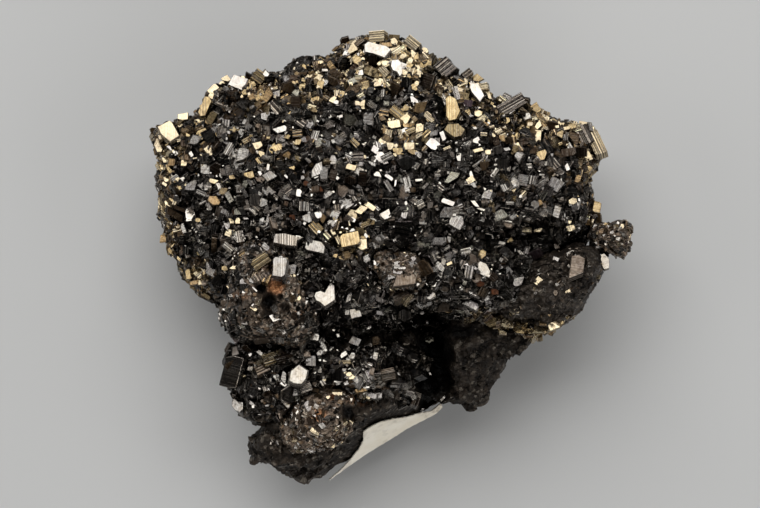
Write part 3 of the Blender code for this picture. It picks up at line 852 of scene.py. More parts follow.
def blockOutline(wide, deep):
    # the six sides of a stack that lies on its edge, one flat side up
    a, b, c, d = (rng.uniform(*outlineLook["edgeEnds"]) for _ in range(4))
    middle = outlineLook["edgeMiddle"] * deep
    return [(a * wide, -deep), (wide, middle), (b * wide, deep),
            (-c * wide, deep), (-wide, middle), (-d * wide, -deep)]


def growEdgeOn(heap, u, v, longHalf, thickHalf, angle, plates, finish, lift=knownLook["lift"]):
    # a stack on its edge, the lines of its plates along that angle in the photograph
    axis, side, up = edgeAxes(angle + 90, finish in glossy | middling)
    wide = longHalf * pixel
    deep = max(knownLook["edgeDeep"] * wide, knownLook["edgeLeastDeep"] * mm)
    thick = max(2 * thickHalf * pixel, knownLook["edgeThinnest"] * mm)
    top = seat(u, v, lift)
    growCrystal(heap, top - up * deep, axis, side, up, blockOutline(wide, deep), thick, plates,
                finish)
    return top, 0.5 * (longHalf + thickHalf) * pixel


singles = {
    # the crystals that are solids of their own: how each lies in the photograph
    "crest_white": ("plate", [(363.1, 43.9), (367.3, 40.6), (379.1, 43.9), (387.6, 45.7),
                              (392.7, 49.7), (385.5, 58.5), (372.7, 53.9), (363.6, 52.1)],
                    "white", 19, 100, 2.4),
    "crest_stack": ("edge", 377, 36, 10, 6, 0, 6, "cream"),
    "crest_face": ("plate", [(391.5, 59.4), (398.2, 58.8), (401.8, 62.1), (402.7, 73.9),
                             (400, 77), (397.3, 72.1), (392.7, 70.3), (390.5, 65.7)],
                   "white", 20, 90, 2.0),
    "shoulder_stack": ("edge", 445, 67, 11, 9, 42, 8, "lined"),
    "shoulder_plate": ("plate", [(469.5, 86.6), (471.3, 82.6), (478.2, 83), (484.5, 95.7),
                                 (480, 102.1), (475.5, 96.6), (471.8, 92.1)],
                       "white", 20, 85, 2.2),
    "right_tablet": ("edge", 512, 104, 17, 6.5, 33, 8, "lined"),
    "right_column": ("edge", 597, 143, 15, 6, -66, 5, "cream"),
    "left_block": ("plate", [(156.2, 126.2), (169.6, 119), (172.2, 121), (181, 136.5),
                             (170.7, 143.3), (160.3, 134.5)], "cream", 20, 95, 3.0),
    "left_tablet": ("plate", [(197.5, 112.7), (204.9, 95.4), (209.4, 96), (211.8, 100.5),
                              (205.3, 116.4), (200.1, 117.2)], "brass", 22, 110, 2.0),
    "rim_blade": ("edge", 259, 76, 9, 6, -38, 5, "olive"),
    "brass_slab": ("plate", [(446, 107.5), (445.1, 97.5), (449.1, 93.9), (456.4, 97.5),
                             (460.9, 111.2), (456.4, 120.3), (449.1, 122.1), (445.8, 116.6)],
                   "brass", 21, 92, 2.0),
    "brass_low": ("plate", [(443.6, 129.4), (447.3, 123.9), (458.2, 123), (465.5, 129.4),
                            (461.8, 135.7), (454.5, 137.6), (449.1, 133.9)],
                  "olive", 22, 100, 1.8),
    "ledge_plate": ("face", 577, 265, 14.5, 8, 80, "taupe", 24, 80),
    "ledge_twin": ("face", 604, 261.5, 8, 6, -70, "bone", 20, 92),
    "edge_spike": ("face", 597, 207, 6, 4, 80, "brass", 20, 90),
    "bright_plate": ("plate", [(313.8, 295.6), (315, 292.5), (320, 290.6), (325, 292.6),
                               (331.3, 281.3), (335, 285), (335.6, 300), (325, 306.9),
                               (320, 302.5), (315.6, 300.6)], "bone", 19, 98, 2.0),
    "barrel_cap": ("plate", [(272.6, 258.6), (275, 255.9), (287, 257.1), (287.4, 261.8),
                             (285.4, 275.4), (282.2, 277.7), (271.8, 276.2), (272.6, 267.4)],
                   "pale", 18, 105, 3.0),
    "barrel_stack": ("plate", [(272, 242.5), (273.8, 233.4), (284, 233), (296, 235.6), (304, 237),
                               (297.5, 240.6), (297, 246.2), (287.5, 245.6)],
                     "ruled", 19, 98, 3.2),
    "lower_plate": ("plate", [(299, 363), (309, 370), (307, 379), (302, 385), (293, 384),
                              (288, 381), (290, 370)], "bone", 20, 92, 2.2),
    "left_fin": ("face", 231, 372, 17, 9, 75, "dark", 30, 200),
    "heart_plate": ("plate", [(232, 401), (234, 398.5), (238, 402), (243, 402), (243, 409),
                              (240, 412), (235, 410), (232, 406)], "pale", 20, 110, 1.6),
    "centre_gold": ("face", 350, 239, 10, 6.5, 12, "brass", 20, 95),
}
taken = []  # places where a crystal stands already: point and radius


def makeSingles():
    grow = {"face": growFaceOn, "edge": growEdgeOn, "plate": growPlate}
    for name, (kind, *values) in singles.items():
        heap = newHeap()
        taken.append(grow[kind](heap, *values, lift=knownLook["largeLift"]))
        node = "crystal_" + name
        metal = brassMetal if slots[node] == "brassy" else steelMetal
        standFor(heapObject("large_" + name, heap, metal), node)


makeSingles()
print("large crystals made")

faceOn = {
    # smaller crystals told apart in the photograph, seen on their broad face:
    # pixel, half length, half width and turn, by finish
    "cream": [
        (352, 47, 8, 6, 30), (425, 50, 4, 3, -45), (378, 84, 6, 2.5, 5), (357.5, 103, 2.8, 2.5, 0),
        (362.5, 103, 4, 3, 85), (363, 107, 2, 2, 0), (406, 118.5, 6, 5, 35),
        (394, 124, 6.5, 4, 10), (419.5, 127.5, 6, 4.5, 85), (478, 113, 4, 4, 0),
        (333, 99, 4, 3, 60), (403, 56, 4, 3, 20), (410, 61, 4, 3, 70), (404, 72, 4, 3, -20),
        (159.5, 145, 7, 5.5, 90), (183, 116.5, 7, 4, 10), (213, 89, 6, 3.5, 45),
        (226, 79, 5, 4, 30), (258, 145.5, 5.5, 4, 15), (261, 154, 4, 3.5, -20),
        (184, 162, 4, 3, 85), (213, 181, 5.5, 2.5, -15), (488, 95, 6, 3, -75),
        (495, 108, 3.5, 2.5, -20), (530, 124, 3, 2, 0), (538, 135, 6.5, 4, 85),
        (537, 126, 6, 3, 40), (518.5, 145.5, 3.5, 1.5, -65), (478, 150, 6, 2, 15),
        (488, 152, 2.8, 2.3, 0), (557, 126, 2, 2, 0), (567, 128, 4, 2, 10),
        (351, 167, 5.5, 3, -15), (391, 146, 5, 4, 0), (409, 146, 6, 4, 0), (417, 152, 2, 2, 0),
        (395, 155, 2, 2, 0), (352, 214, 7, 5, -10), (361, 210, 7, 4, 45), (370, 206, 6, 2.5, -35),
        (333, 232, 3.5, 2, -60), (362, 244, 6.5, 6, 20), (386, 244.5, 2.5, 1, -20),
        (231.5, 220.5, 3, 3, 0), (237.5, 220.5, 3.3, 2.7, 90), (235, 268, 5.5, 2, -12),
        (200, 282.5, 3, 2, 85), (164.5, 184, 3, 1.5, -35), (229, 287.5, 3, 1, -40),
        (573, 201, 4.5, 4, 10), (527, 229.5, 5, 2.6, 0), (538, 230, 4.5, 2, 0),
        (571, 228, 4.3, 3, 20), (570, 222, 2, 2, 0), (449.5, 263.5, 3.5, 1.6, 25),
        (396, 358.5, 6, 3.2, -40), (242, 376, 5, 1.2, 5), (286.5, 391, 5, 1.6, 60),
        (352, 376, 4.5, 3.5, 30), (337, 394, 6, 2.5, 0), (368, 397.5, 2.5, 1.5, -20),
        (497, 325, 6.5, 4, 20), (505, 323, 5, 4, 60), (510, 324, 3.5, 3.5, 0),
        (526, 333, 5, 4, 30), (531, 330, 4, 3.5, 10), (539, 328, 6.5, 4.5, 0), (534, 335, 3, 2, 0),
        (554, 325, 6, 4, 20), (349, 374, 3, 2.5, 20), (405, 369, 2, 1, 60),
    ],
    "umber": [
        (345, 41, 5, 3.5, 15), (372, 60, 5, 5, 0), (426, 81, 10, 8, 70), (295, 103, 7, 6, 90),
        (215, 170, 7, 6.5, 60), (525, 106, 8, 4, 80), (524, 142, 6, 4.5, 0), (568, 152, 8, 4, 10),
        (580, 152, 7, 5, 0), (350, 181, 6, 5, 0), (362, 180, 7, 5, 85),
    ],
    "amber": [
        (387, 44.5, 6, 2.5, 5), (331, 66, 6, 3.5, -55), (406, 125, 3, 2, 0), (412, 125, 3, 2.5, 0),
        (420.5, 108, 8, 5.5, 75), (153, 130, 4, 3, 0), (267, 95.5, 8.5, 4.5, 55),
        (172, 162, 5, 4, 0), (502, 138, 3.5, 3.5, 0), (578, 178.5, 4.5, 3, 75),
        (323, 219, 5, 2.5, 75), (214, 200, 6.5, 5, -20), (163, 238, 5, 3.5, 80),
        (194, 282.5, 4.5, 2, 10), (200, 289.5, 2.8, 1.8, 0), (598, 218, 5.5, 3, -85),
        (543, 323, 4, 2.5, 0), (515, 322, 4, 2, 0), (361, 390, 7, 2, 10),
    ],
    "olive": [
        (394, 38, 6, 4, -5), (371, 71, 12, 6, -25), (211, 118, 7, 4, 60), (515, 148.5, 4.5, 4, 70),
        (360, 231, 4, 4, 0), (223, 191, 5, 4, 70), (193, 288, 4, 1.5, -20), (206, 296, 5, 2, -30),
        (510, 240, 3.5, 2, 20), (617, 226, 2, 2, 0), (628, 232, 2, 4, 0),
    ],
    "brass": [
        (357, 60, 6, 5, -50), (477, 78, 6, 5, -40), (416, 57, 3.5, 3, 10), (413, 71, 3.5, 3, 40),
        (168, 169, 6, 2.5, -45), (158, 165, 5, 2, 88), (249, 175, 6.5, 4, 15),
        (232, 177, 3, 2, 10), (292, 167, 3, 2, -20), (298, 142, 4, 3, 0), (535.5, 108, 6, 5, -60),
        (543, 155, 6.5, 5.5, 15), (479, 113, 5, 3, -10), (560, 133, 5, 4, 80),
        (573, 126, 4, 3, 20), (398, 151, 6, 4, 0), (412, 152, 5, 3, 0), (353, 250, 3.5, 2, 20),
        (198, 220, 3, 2.5, 0), (225, 268, 3.5, 3, 0), (171, 251, 4, 2.7, -35),
        (179, 259, 3, 1.5, -35), (188, 274, 6.5, 2.8, -80), (482, 254, 4.5, 4, 60),
        (519, 328, 7.5, 6, -30), (547, 328, 6, 4, 30), (560, 322, 5, 4, 40), (550, 332, 4, 3, -20),
    ],
    "white": [
        (325, 70, 3, 1.2, 0), (443, 136, 5.5, 2.5, -70), (433, 144, 6, 5, -40),
        (336, 102, 3, 2.5, 0), (238, 82, 9, 7, -20), (266, 74, 4, 3, -45), (281, 129, 9, 3.5, 18),
        (191, 154, 3, 1.8, -60), (170, 148, 4, 1.3, -45), (174, 152, 1.5, 1.5, 0),
        (268, 167, 3.5, 1.4, 80), (260, 173, 3, 1.8, -60), (286, 176, 3, 1.4, -45),
        (513, 108.5, 7, 3, 38), (527, 116, 4.5, 3.8, 20), (475, 128, 2.5, 1.5, 0),
        (567.5, 167.5, 4.5, 2.2, -70), (471, 174, 4, 2, -70), (375, 149.5, 5, 4, 70),
        (377, 174, 4.5, 2.5, -10), (389, 177, 5, 1.8, -35), (395.5, 183, 4, 1, 85),
        (458.5, 157, 5, 3, 85), (448, 202, 7, 2.5, -20), (352, 230, 3, 1.5, 10),
        (366, 235.5, 2.5, 1.5, -50), (406, 203, 2, 1.5, 90), (342, 207, 2, 1.3, 90),
        (334, 202, 1.5, 1.5, 0), (312, 195, 1.6, 1.3, 90), (419, 180, 4, 1.2, 5),
        (299, 237, 4, 1.5, -10), (222, 294, 3, 0.7, -50), (230, 294.5, 2, 1, 50),
        (225, 299.5, 2, 1.2, 50), (224, 309.5, 1.5, 1, 0), (252, 286, 4, 1, -45),
        (255, 289.5, 3, 0.8, -45), (475, 203.5, 5, 2, -55), (481, 209, 5, 1.2, -20),
        (502, 250, 3, 1.5, 0), (375, 263, 2, 1.3, 90), (369.5, 327.5, 3, 1.3, 30),
        (363.5, 331, 2, 1, 20), (343.5, 354.5, 4, 2.3, 30), (253, 337, 5.3, 2, -37),
        (260, 353, 4, 2, -40), (325.5, 350, 2.2, 1.4, 30), (283.5, 384, 3.5, 1.8, -35),
        (310.5, 405, 4, 1, -60), (298, 411, 4, 1, 55), (253, 406.5, 1.5, 1.5, 0),
        (333.5, 330, 1.2, 1.2, 0), (338, 335.5, 2, 1.4, -70), (320, 360, 1.2, 1.2, 0),
        (324.5, 360.5, 2, 1.2, 0), (339, 382, 4, 1, 5), (406, 368.5, 2, 1.5, 90),
        (397, 369.5, 5, 2.3, -55), (413, 361, 1.3, 1, 0), (337, 381, 4, 1.2, 0),
        (409, 366, 2, 3, 0), (606, 244, 1.5, 1.5, 0), (402, 268, 4, 1.2, 0),
        (418, 284, 3, 1.5, 40),
    ],
    # painted shade: crystals drawn near black where they lie in shade
    "black": [
        (343, 64, 9, 5, 85), (407, 82, 7, 7, 0), (227, 81, 3.5, 3, 0), (209, 136, 9, 6, -55),
        (390, 206, 8.5, 8, 0), (402, 230, 10, 9, 80), (226, 290, 6, 6, 0), (311, 345, 6.5, 6, 20),
        (336, 376, 7, 6.5, 0), (605, 254, 4, 3, 0), (594, 247, 4, 4, 0), (597, 236, 5, 5, 0),
        (601, 241, 4, 4, 0), (229, 278, 5, 4, -20), (244, 336, 6, 4, -30),
    ],
    "brown": [
        (394, 90, 8, 6, 70), (440, 89, 5, 4, -15), (333, 82, 8, 4, -25), (290, 88, 7, 6, -20),
        (508, 141, 5.5, 3, 25), (533, 150, 5.5, 4, 0), (553, 126, 6, 4, -10), (574, 138, 7, 6, 80),
        (485, 166, 5.5, 5, 0), (413, 190, 3.5, 3, 0), (214, 246, 9, 3, 85), (175, 215, 11, 4, -30),
        (180, 209, 9, 2, -20), (198, 261, 5, 4, 60), (421, 270, 10, 8, 30), (396, 254.5, 3, 2, 20),
        (376, 341, 5, 4, 90), (246, 349, 5, 3, -50), (232, 364, 8, 3, 30), (314, 390, 5, 2, -10),
        (318, 397, 4.5, 4, 0), (328, 393, 4, 4, 0), (337, 392, 5, 3, 0), (292, 300, 4, 6, -20),
    ],
    "sage": [
        (351, 121, 6.5, 5.5, -15), (318, 143, 5, 4, 80), (452, 178, 8.5, 5.5, 60),
        (438, 195, 5, 4, 60), (229, 197, 6.5, 3, -60), (499, 215, 8.5, 5.5, 25),
        (388, 309, 4, 2, 60), (429, 339, 5, 4, 0),
    ],
    "grey": [
        (368, 118.5, 6.5, 5, 85), (434, 133, 5, 3, 10), (195, 140, 6.5, 5, 60),
        (191, 185, 7.5, 6.5, 0), (523, 180, 6.5, 6, 80), (555, 184, 8.5, 7, -30),
        (324, 173, 7, 4, 85), (447, 212, 8, 6, 0), (437, 241, 8, 4, 0), (423, 222, 4, 2.5, 0),
        (245, 193, 6.5, 2.5, -60), (242, 212, 4, 4, 0), (243, 263, 4, 1.5, -15),
        (211, 272, 6, 4, -25), (226, 277.5, 4.5, 2, -5), (206, 286, 3, 1.5, 10),
        (233, 316, 2.5, 0.8, -65), (249, 329.5, 3, 1.5, -25), (535, 205, 5.5, 5, 60),
        (426, 303, 6.5, 5, 0), (380, 313, 4, 2, -10), (422, 313, 2, 2, 0), (355, 341, 6, 4.5, -20),
        (311, 361, 6, 6, 0), (297, 391, 6, 4, 80), (251, 395, 3, 1.3, -50),
        (356, 381, 7.5, 6.5, -30), (332, 371, 3, 3, 0), (598, 246, 3, 2, 20),
        (410, 278, 5, 2.5, 15),
    ],
    "violet": [
        (468, 103, 6, 4, -10), (231, 322, 2.5, 2, 0), (535, 255, 7, 4.5, 25),
        (625, 243, 2.5, 2.5, 0),
    ],
    "pale": [
        (243, 154, 8.5, 6.5, 80), (205, 168, 6, 4.5, 90), (269, 176, 7, 5, 30),
        (519, 155, 6.5, 4.5, 55), (507, 149, 4, 2, 10), (542, 174.5, 3, 1, 0), (473, 185, 4, 3, 0),
        (487, 194, 6, 5, 70), (317, 169, 7.5, 6.5, 20), (333, 160, 5, 4, 90),
        (361, 164, 3, 2.5, 0), (372, 163.5, 4.5, 2, -15), (455, 150, 3, 3, 0), (308, 218, 6, 5, 0),
        (335, 214, 5, 4.5, 60), (404, 215, 4, 3.5, 0), (449, 239, 3.5, 2.5, 80),
        (262, 202, 5.5, 5, 0), (246, 218.5, 3.5, 1, 0), (267, 221, 5.5, 2, 65),
        (262, 219, 3, 2.5, 80), (291.5, 269.5, 7, 5, 80), (265, 248, 6, 5, 60),
        (253, 278, 6, 3, 65), (237, 233, 3.5, 1, 40), (244, 281, 4.5, 2.8, 0),
        (183, 228, 6, 2.5, -70), (221, 315.5, 3.5, 1, -45), (241, 325.5, 2.5, 1.5, -15),
        (557, 211.5, 6.5, 3.5, 75), (502, 243, 3.5, 1.5, -10), (457, 221, 7.5, 7, -30),
        (556, 259, 3.3, 2, -20), (471, 304, 8, 3.5, -28), (397, 265, 4, 3, 85),
        (413, 259, 3, 2.5, 30), (440, 266.5, 6, 4, -35), (440, 275, 3.5, 3, 80),
        (420, 305, 4, 3, -40), (349, 297, 6.5, 2.5, 80), (347, 312, 3.5, 2.5, 90),
        (399, 321, 2.5, 2.5, 0), (388, 315, 1.5, 1.5, 0), (427, 322, 1.5, 1.5, 0),
        (402.5, 356.5, 3.5, 3, -60), (352.5, 355.5, 3.5, 3, 80), (250, 368.5, 3, 2, 0),
        (259.5, 342, 1.5, 1.5, 0), (307, 331.5, 3, 2.2, -40), (322, 341, 3.5, 3.5, -45),
        (323.5, 346.5, 3.5, 2.5, -45), (320, 352.5, 4, 3, 30), (284, 377, 7, 3.5, 75),
        (284.5, 402, 7, 2, -45), (308, 406, 5, 3, -60), (252, 404, 4, 1.8, -40),
        (267, 405, 2, 1.4, 10), (344, 370, 3, 2, 0), (346, 383, 2.5, 2, 20),
        (370, 395, 7, 2.5, -15), (416.5, 364, 4, 1.6, -28), (389, 409, 5, 2.5, 65),
        (422.5, 410, 1.8, 1.5, 80), (430.5, 374, 1.5, 1.5, 0), (443, 398.5, 3, 1, 45),
        (385, 387, 1.5, 1, 30), (355, 378, 6, 4, -40), (595, 227, 3, 2, 60), (392, 276, 6, 3, 20),
        (398, 271, 5, 3, -10), (385, 288, 3, 6, 10),
    ],
    # painted shade as well: crystals drawn dark where they lie in shade
    "dark": [
        (498, 150, 6, 5, 0), (502, 164, 7.5, 5, 0), (356, 296, 6, 5, 80), (382, 298, 6, 6, 0),
        (365, 298, 7, 6, 0), (405, 315, 7, 7, 0), (290, 395, 11, 9.5, 60), (599, 251, 5, 4, 30),
        (602, 229, 4, 3, 0), (231, 268, 4, 3, 20), (233, 327, 5, 4, 0),
    ],
    "taupe": [
        (342, 190, 8.5, 7, -40), (204.5, 282, 3.5, 3, 80), (223.5, 303, 3, 3, 0),
        (247, 304, 6, 3, 70), (508, 224, 5, 4, -30), (406, 277, 14, 9, 5), (444, 306, 7, 7, 0),
        (307, 353.5, 4.5, 3.5, 0), (372, 370, 3, 5, -20), (619, 236, 3, 2.5, 0),
        (248, 320, 3, 5, 20),
    ],
    "iron": [
        (407, 163, 8.5, 8, 0), (437, 162, 8, 7, 90), (236, 316, 4, 6, 10),
    ],
    "bone": [
        (315, 246, 10, 5.5, -12), (484, 269, 9, 7.5, -25), (430, 295, 6, 5, 10),
        (355, 313, 6.5, 5.5, 10), (375.5, 356, 5, 2.7, 82), (313, 336.5, 6, 3.2, -10),
        (302.5, 344, 7, 2.2, 65), (395, 386.5, 5, 2.7, -60),
    ],
    "rust": [
        (306, 183, 3, 3, 0), (320, 189, 4, 3, 0), (292, 218, 4.5, 4, 0), (480, 284, 4, 3, 0),
        (495, 292, 4, 3, 0), (333, 397, 2.5, 2, 60),
    ],
    "lilac": [
        (235.5, 336.6, 5.5, 5, 45), (368, 376, 2.5, 7, 10),
    ],
}
edgeOn = {
    # and those seen on their edge: pixel, half length, half thickness, turn, plates
    "cream": [
        (412, 43, 10, 6, -42, 5), (361, 95, 6, 2.2, 33, 1), (462, 84.5, 4.5, 1, 25, 1),
        (226, 182, 6, 0.8, -5, 1), (534.5, 118, 3.5, 2.5, 15, 3), (498, 131, 5, 3, 30, 3),
        (447, 148, 4.5, 1.4, 25, 1), (327, 235, 5.5, 2.5, -50, 2), (338, 240, 6.5, 2, -65, 3),
        (345, 362, 7, 1.8, 2, 2),
    ],
    "brass": [
        (397, 112, 9, 5, -42, 5), (316, 227, 9, 5, -50, 4),
    ],
    "grey": [
        (372, 105, 6, 3, -40, 3), (226, 123, 5, 4, 85, 3), (532, 180, 6.5, 4.5, 80, 4),
        (541, 183, 6, 4, 40, 4), (306, 206, 6, 7, 88, 4), (438, 285, 6.5, 1, 60, 1),
        (371, 373, 8, 2, -75, 1), (247, 240, 8, 4, -50, 4),
    ],
    "lined": [
        (467, 73, 7, 3.5, 40, 4), (274, 107, 10, 3.5, -50, 2), (584, 134, 14, 6.5, -65, 4),
        (256, 207, 7, 2, -45, 2),
    ],
    "pale": [
        (229, 149, 9, 4, 65, 4), (566, 136, 6, 2.2, 85, 3), (478, 163, 8, 1.5, 40, 1),
        (504, 187, 5, 3, -65, 3), (308, 160, 4.5, 1.5, -50, 1), (348, 155, 5, 1.7, -30, 2),
        (388, 185, 9, 2.5, -60, 3), (353.5, 197, 6, 1.8, -58, 2), (373, 219, 4.5, 1.3, -35, 1),
        (446, 248, 6, 1.8, 30, 2), (425, 186, 4.5, 1.3, 50, 1), (202, 193, 9, 2, -25, 2),
        (204, 202, 7, 1, 30, 1), (209, 206, 5, 2, -75, 1), (228, 247, 8, 3.2, -42, 3),
        (510, 203, 4.8, 1.7, 0, 1), (499, 246, 6, 0.9, 15, 1), (469, 271, 9, 4.5, 80, 3),
        (386, 260, 3, 0.8, -30, 1), (465, 309, 5.5, 1.5, -52, 1), (365, 374, 9, 2.8, -66, 2),
    ],
    "white": [
        (377, 208, 4.5, 1.5, -45, 2), (507, 221, 7, 0.8, -15, 1), (522, 254, 7.5, 1.3, -42, 1),
    ],
    "olive": [
        (366, 224, 6.5, 2.5, 25, 3), (272, 358, 14, 6, 18, 6), (260, 261, 12, 6, 35, 7),
    ],
    "taupe": [
        (260, 275, 6, 9, -60, 6), (400, 294, 10, 4, 28, 3), (262, 368, 9, 5, 25, 4),
        (388, 374, 10, 6, 12, 4), (262, 335, 10, 4, 10, 4),
    ],
    "brown": [
        (484, 292, 7, 4.5, 65, 4),
    ],
    "umber": [
        (283, 361, 9, 4.5, 14, 4),
    ],
    "iron": [
        (246, 384, 6, 4, 80, 3),
    ],
    "banded": [
        (261, 276, 6, 9.5, 70, 8), (244, 255, 5, 5, 35, 5),
    ],
    "dark": [
        (290, 325, 8, 6, 30, 5),
    ],
}

pittedPlate = {
    # a pale worn plate at the left, by its corners in the photograph
    "corners": [(232, 346), (236, 345), (240, 357), (245, 366), (244, 370), (236, 365), (231, 359)],
    "finish": "pitted", "lean": 19, "way": 98, "thick": 0.9, "lift": 0.5,
}

crustPieces = {
    # the mesh that takes the crystals standing on each solid
    "matrix": "wedgeCrystals", "druse_lower": "lowerCrystals", "nodule_left": "leftNoduleCrystals",
    "nodule_right": "rightNoduleCrystals", "nub_right": "nubCrystals",
    "rosette_centre": "centreRosetteCrystals", "rosette_bottom": "bottomRosetteCrystals",
}
fieldParts = {
    # where the upper crust is parted into meshes, in metres
    "waist": -0.015,  # y
    "crest": 0.018,  # y
    "crestEnd": 0.002,  # x
    "middle": -0.004,  # x
}
heaps = {}


def upperPiece(point):
    atCrest = point.y > fieldParts["crest"]
    if point.z < skirtTop:
        side = "leftSkirt" if point.x < 0 else "rightSkirt"
        return "crestSkirt" if atCrest else side
    if atCrest:
        return "crestCrystals" if point.x < fieldParts["crestEnd"] else "shoulderCrystals"
    return "leftFieldCrystals" if point.x < fieldParts["middle"] else "rightFieldCrystals"


def heapAt(node, point):
    # the mesh that takes a crystal standing there on that solid
    if node.startswith("crystal_"):  # beside a large crystal
        node = "druse_upper" if point.y > fieldParts["waist"] else "druse_lower"
    label = upperPiece(point) if node == "druse_upper" else crustPieces[node]
    return heaps.setdefault((node, label), newHeap())


def makeKnown():
    point, node = surfaceAt(*pittedPlate["corners"][0])
    taken.append(growPlate(heapAt(node, point), **pittedPlate))
    for grow, table in ((growFaceOn, faceOn), (growEdgeOn, edgeOn)):
        for finish, rows in table.items():
            for row in rows:
                point, node = surfaceAt(row[0], row[1])
                taken.append(grow(heapAt(node, point), *row, finish))


makeKnown()
print("crystals of the photograph made:", len(taken))

zones = {
    # mixtures of finishes, and where each rules: pixel, half sizes in pixels, share there
    "brassy": [
        (385, 58, 62, 30, 1.0), (440, 75, 40, 30, 0.6), (480, 95, 40, 22, 0.6),
        (545, 122, 62, 26, 0.9), (588, 150, 18, 50, 0.85), (330, 80, 40, 22, 0.8),
        (265, 92, 62, 20, 0.7), (180, 130, 36, 40, 0.9), (166, 215, 16, 60, 0.8),
        (196, 280, 22, 22, 1.0), (355, 232, 24, 24, 0.9), (412, 125, 34, 22, 0.8),
        (600, 210, 12, 24, 0.9), (300, 150, 60, 26, 0.25), (520, 190, 50, 30, 0.2),
        (250, 145, 26, 18, 0.3),
    ],
    # crest: cream and white crystals stand for the highlights where the top light falls, painted
    # highlight mixed with the brassy colour
    "crest": [
        (382, 60, 46, 24, 1.0), (352, 66, 22, 18, 0.8), (455, 84, 24, 16, 0.4),
        (162, 128, 16, 22, 0.8), (160, 155, 14, 22, 0.6), (590, 130, 24, 24, 0.8),
        (164, 205, 10, 50, 0.35), (572, 108, 26, 12, 0.6), (205, 85, 30, 14, 0.7),
        (400, 125, 16, 12, 0.5), (355, 228, 18, 16, 0.5),
    ],
    "lively": [
        (375, 382, 48, 22, 1.0), (404, 285, 26, 18, 0.7), (320, 395, 16, 12, 0.6),
        (232, 240, 16, 16, 0.4), (290, 330, 20, 16, 0.5),
    ],
    "gold": [(530, 325, 50, 14, 1.0), (486, 318, 20, 8, 0.8)],
    "earthy": [
        (270, 355, 26, 18, 0.8), (222, 101, 15, 13, 0.9), (310, 405, 60, 22, 0.7),
        (400, 280, 34, 22, 0.3), (240, 305, 24, 20, 0.5),
    ],
    # painted shade: mostly black and dark crystals where the hollows lie in shadow
    "shaded": [
        (420, 350, 44, 44, 1.0), (350, 315, 80, 30, 0.5), (520, 235, 80, 12, 0.6),
        (230, 350, 22, 30, 0.6), (400, 215, 24, 18, 0.5), (432, 385, 22, 44, 1.0),
        (320, 345, 20, 26, 0.5), (390, 330, 60, 20, 0.7),
    ],
}
mixtures = {
    "steely": {"black": 34, "dark": 27, "iron": 16, "grey": 9, "pale": 5, "white": 2, "taupe": 3,
               "sage": 2, "umber": 3, "lined": 7},
    "brassy": {"umber": 13, "brown": 18, "olive": 11, "brass": 14, "cream": 13, "amber": 6,
               "banded": 14, "dark": 6, "black": 8},
    # painted highlight: many cream and white crystals where the top light falls
    "crest": {"cream": 42, "white": 13, "brass": 16, "banded": 10, "amber": 7, "brown": 6,
              "olive": 3, "umber": 2, "black": 4},
    "gold": {"brass": 30, "cream": 38, "amber": 20, "brown": 8, "umber": 4},
    "lively": {"pale": 24, "white": 20, "cream": 12, "taupe": 14, "brown": 5, "lined": 14,
               "grey": 6, "dark": 4, "black": 8},
    "earthy": {"umber": 16, "brown": 24, "taupe": 22, "dark": 14, "black": 10, "grey": 6,
               "pale": 4, "cream": 2, "lined": 4},
    # painted shade: black and dark crystals for the hollows in shadow
    "shaded": {"black": 58, "dark": 30, "iron": 9, "grey": 3},
    "nodule": {"umber": 6, "brown": 20, "dark": 6, "black": 8, "taupe": 26, "grey": 8, "pale": 14,
               "cream": 10, "white": 4},
}


def finishAt(point, mixture):
    # a finish drawn from the mixture that rules there
    here = toPixel(point)
    for name, places in zones.items():
        share = max(top * spot(here, *place, power=2) for *place, top in places)
        if rng.random() < share:
            mixture = name
    table = mixtures[mixture]
    return rng.choices(list(table), list(table.values()))[0]


crustLook = {
    # radii in mm, tries on each square mm
    "sizes": [((1.5, 1.9), 0.08), ((1.1, 1.5), 2.0), ((0.75, 1.05), 3.0), ((0.45, 0.7), 4.0),
              ((0.24, 0.4), 3.5)],
    "keepOff": 0.46,  # share of a radius that neighbours keep clear
    "edgeShare": 0.55,  # how many stand on their edge
    "narrow": (0.68, 1.0),  # width as a share of the length
    "stack": (0.55, 1.5),  # thickness as a share of the radius, for those on their edge
    "flat": (0.35, 0.8),  # and for the others
    "edgeLeans": (52, 86),  # degrees from the surface's normal
    "faceLeans": (8, 42),
    "plate": (0.26, 0.45),  # thickness of one plate, in mm
    "mostPlates": 6,
    "fewPlates": ((0.62, 1), (1.0, 3)),  # below this radius in mm, at most so many
    "hiddenStack": 1.3,  # out of sight only larger ones than this have two plates, others one
    "seated": 0.9,  # how deep those that stand on edge sit, as a share of their radius
    "rise": 0.5,  # how far tips may stand out of the solid's surface, in mm
    "sink": 1.0,  # how much of the hollows they follow
    "shining": glossy,  # finishes that face so that they mirror the light
    "shineShare": 0.75,  # and how many of them do
    "sparse": 0.7,  # how many of the smallest are left out on the underside
    "sparseBelow": 1.1,  # which are those of a smaller radius than this, in mm
    "sliverFacing": 0.3,  # slivers grow only where the surface looks up by more than this
    "mixture": "steely",
}
noduleLook = crustLook | {
    "sizes": [((0.9, 1.4), 0.6), ((0.5, 0.85), 2.6), ((0.3, 0.44), 3.0)],
    "keepOff": 0.6, "edgeShare": 0.6, "stack": (0.35, 1.1), "rise": 0.35, "sink": 0.0,
    "shining": glossy | middling | {"brown"}, "mixture": "nodule",
    "eyeLeans": (45, 88),  # of the plates that run round the eye of a rounded mass
    "eyeSpread": 0.6,
}
terrace = {
    # a lower plate on the face of some broad crystals: shares of the radius, or mm
    "from": 0.9, "chance": 0.5, "size": 0.62, "shift": 0.15, "thick": 0.16, "rise": 0.03,
}
dimFinishes = {"iron", "grey", "taupe"}  # slivers drawn in these
paintedGlints = ("pale", "white")  # get one of these instead, bright colours as painted glints


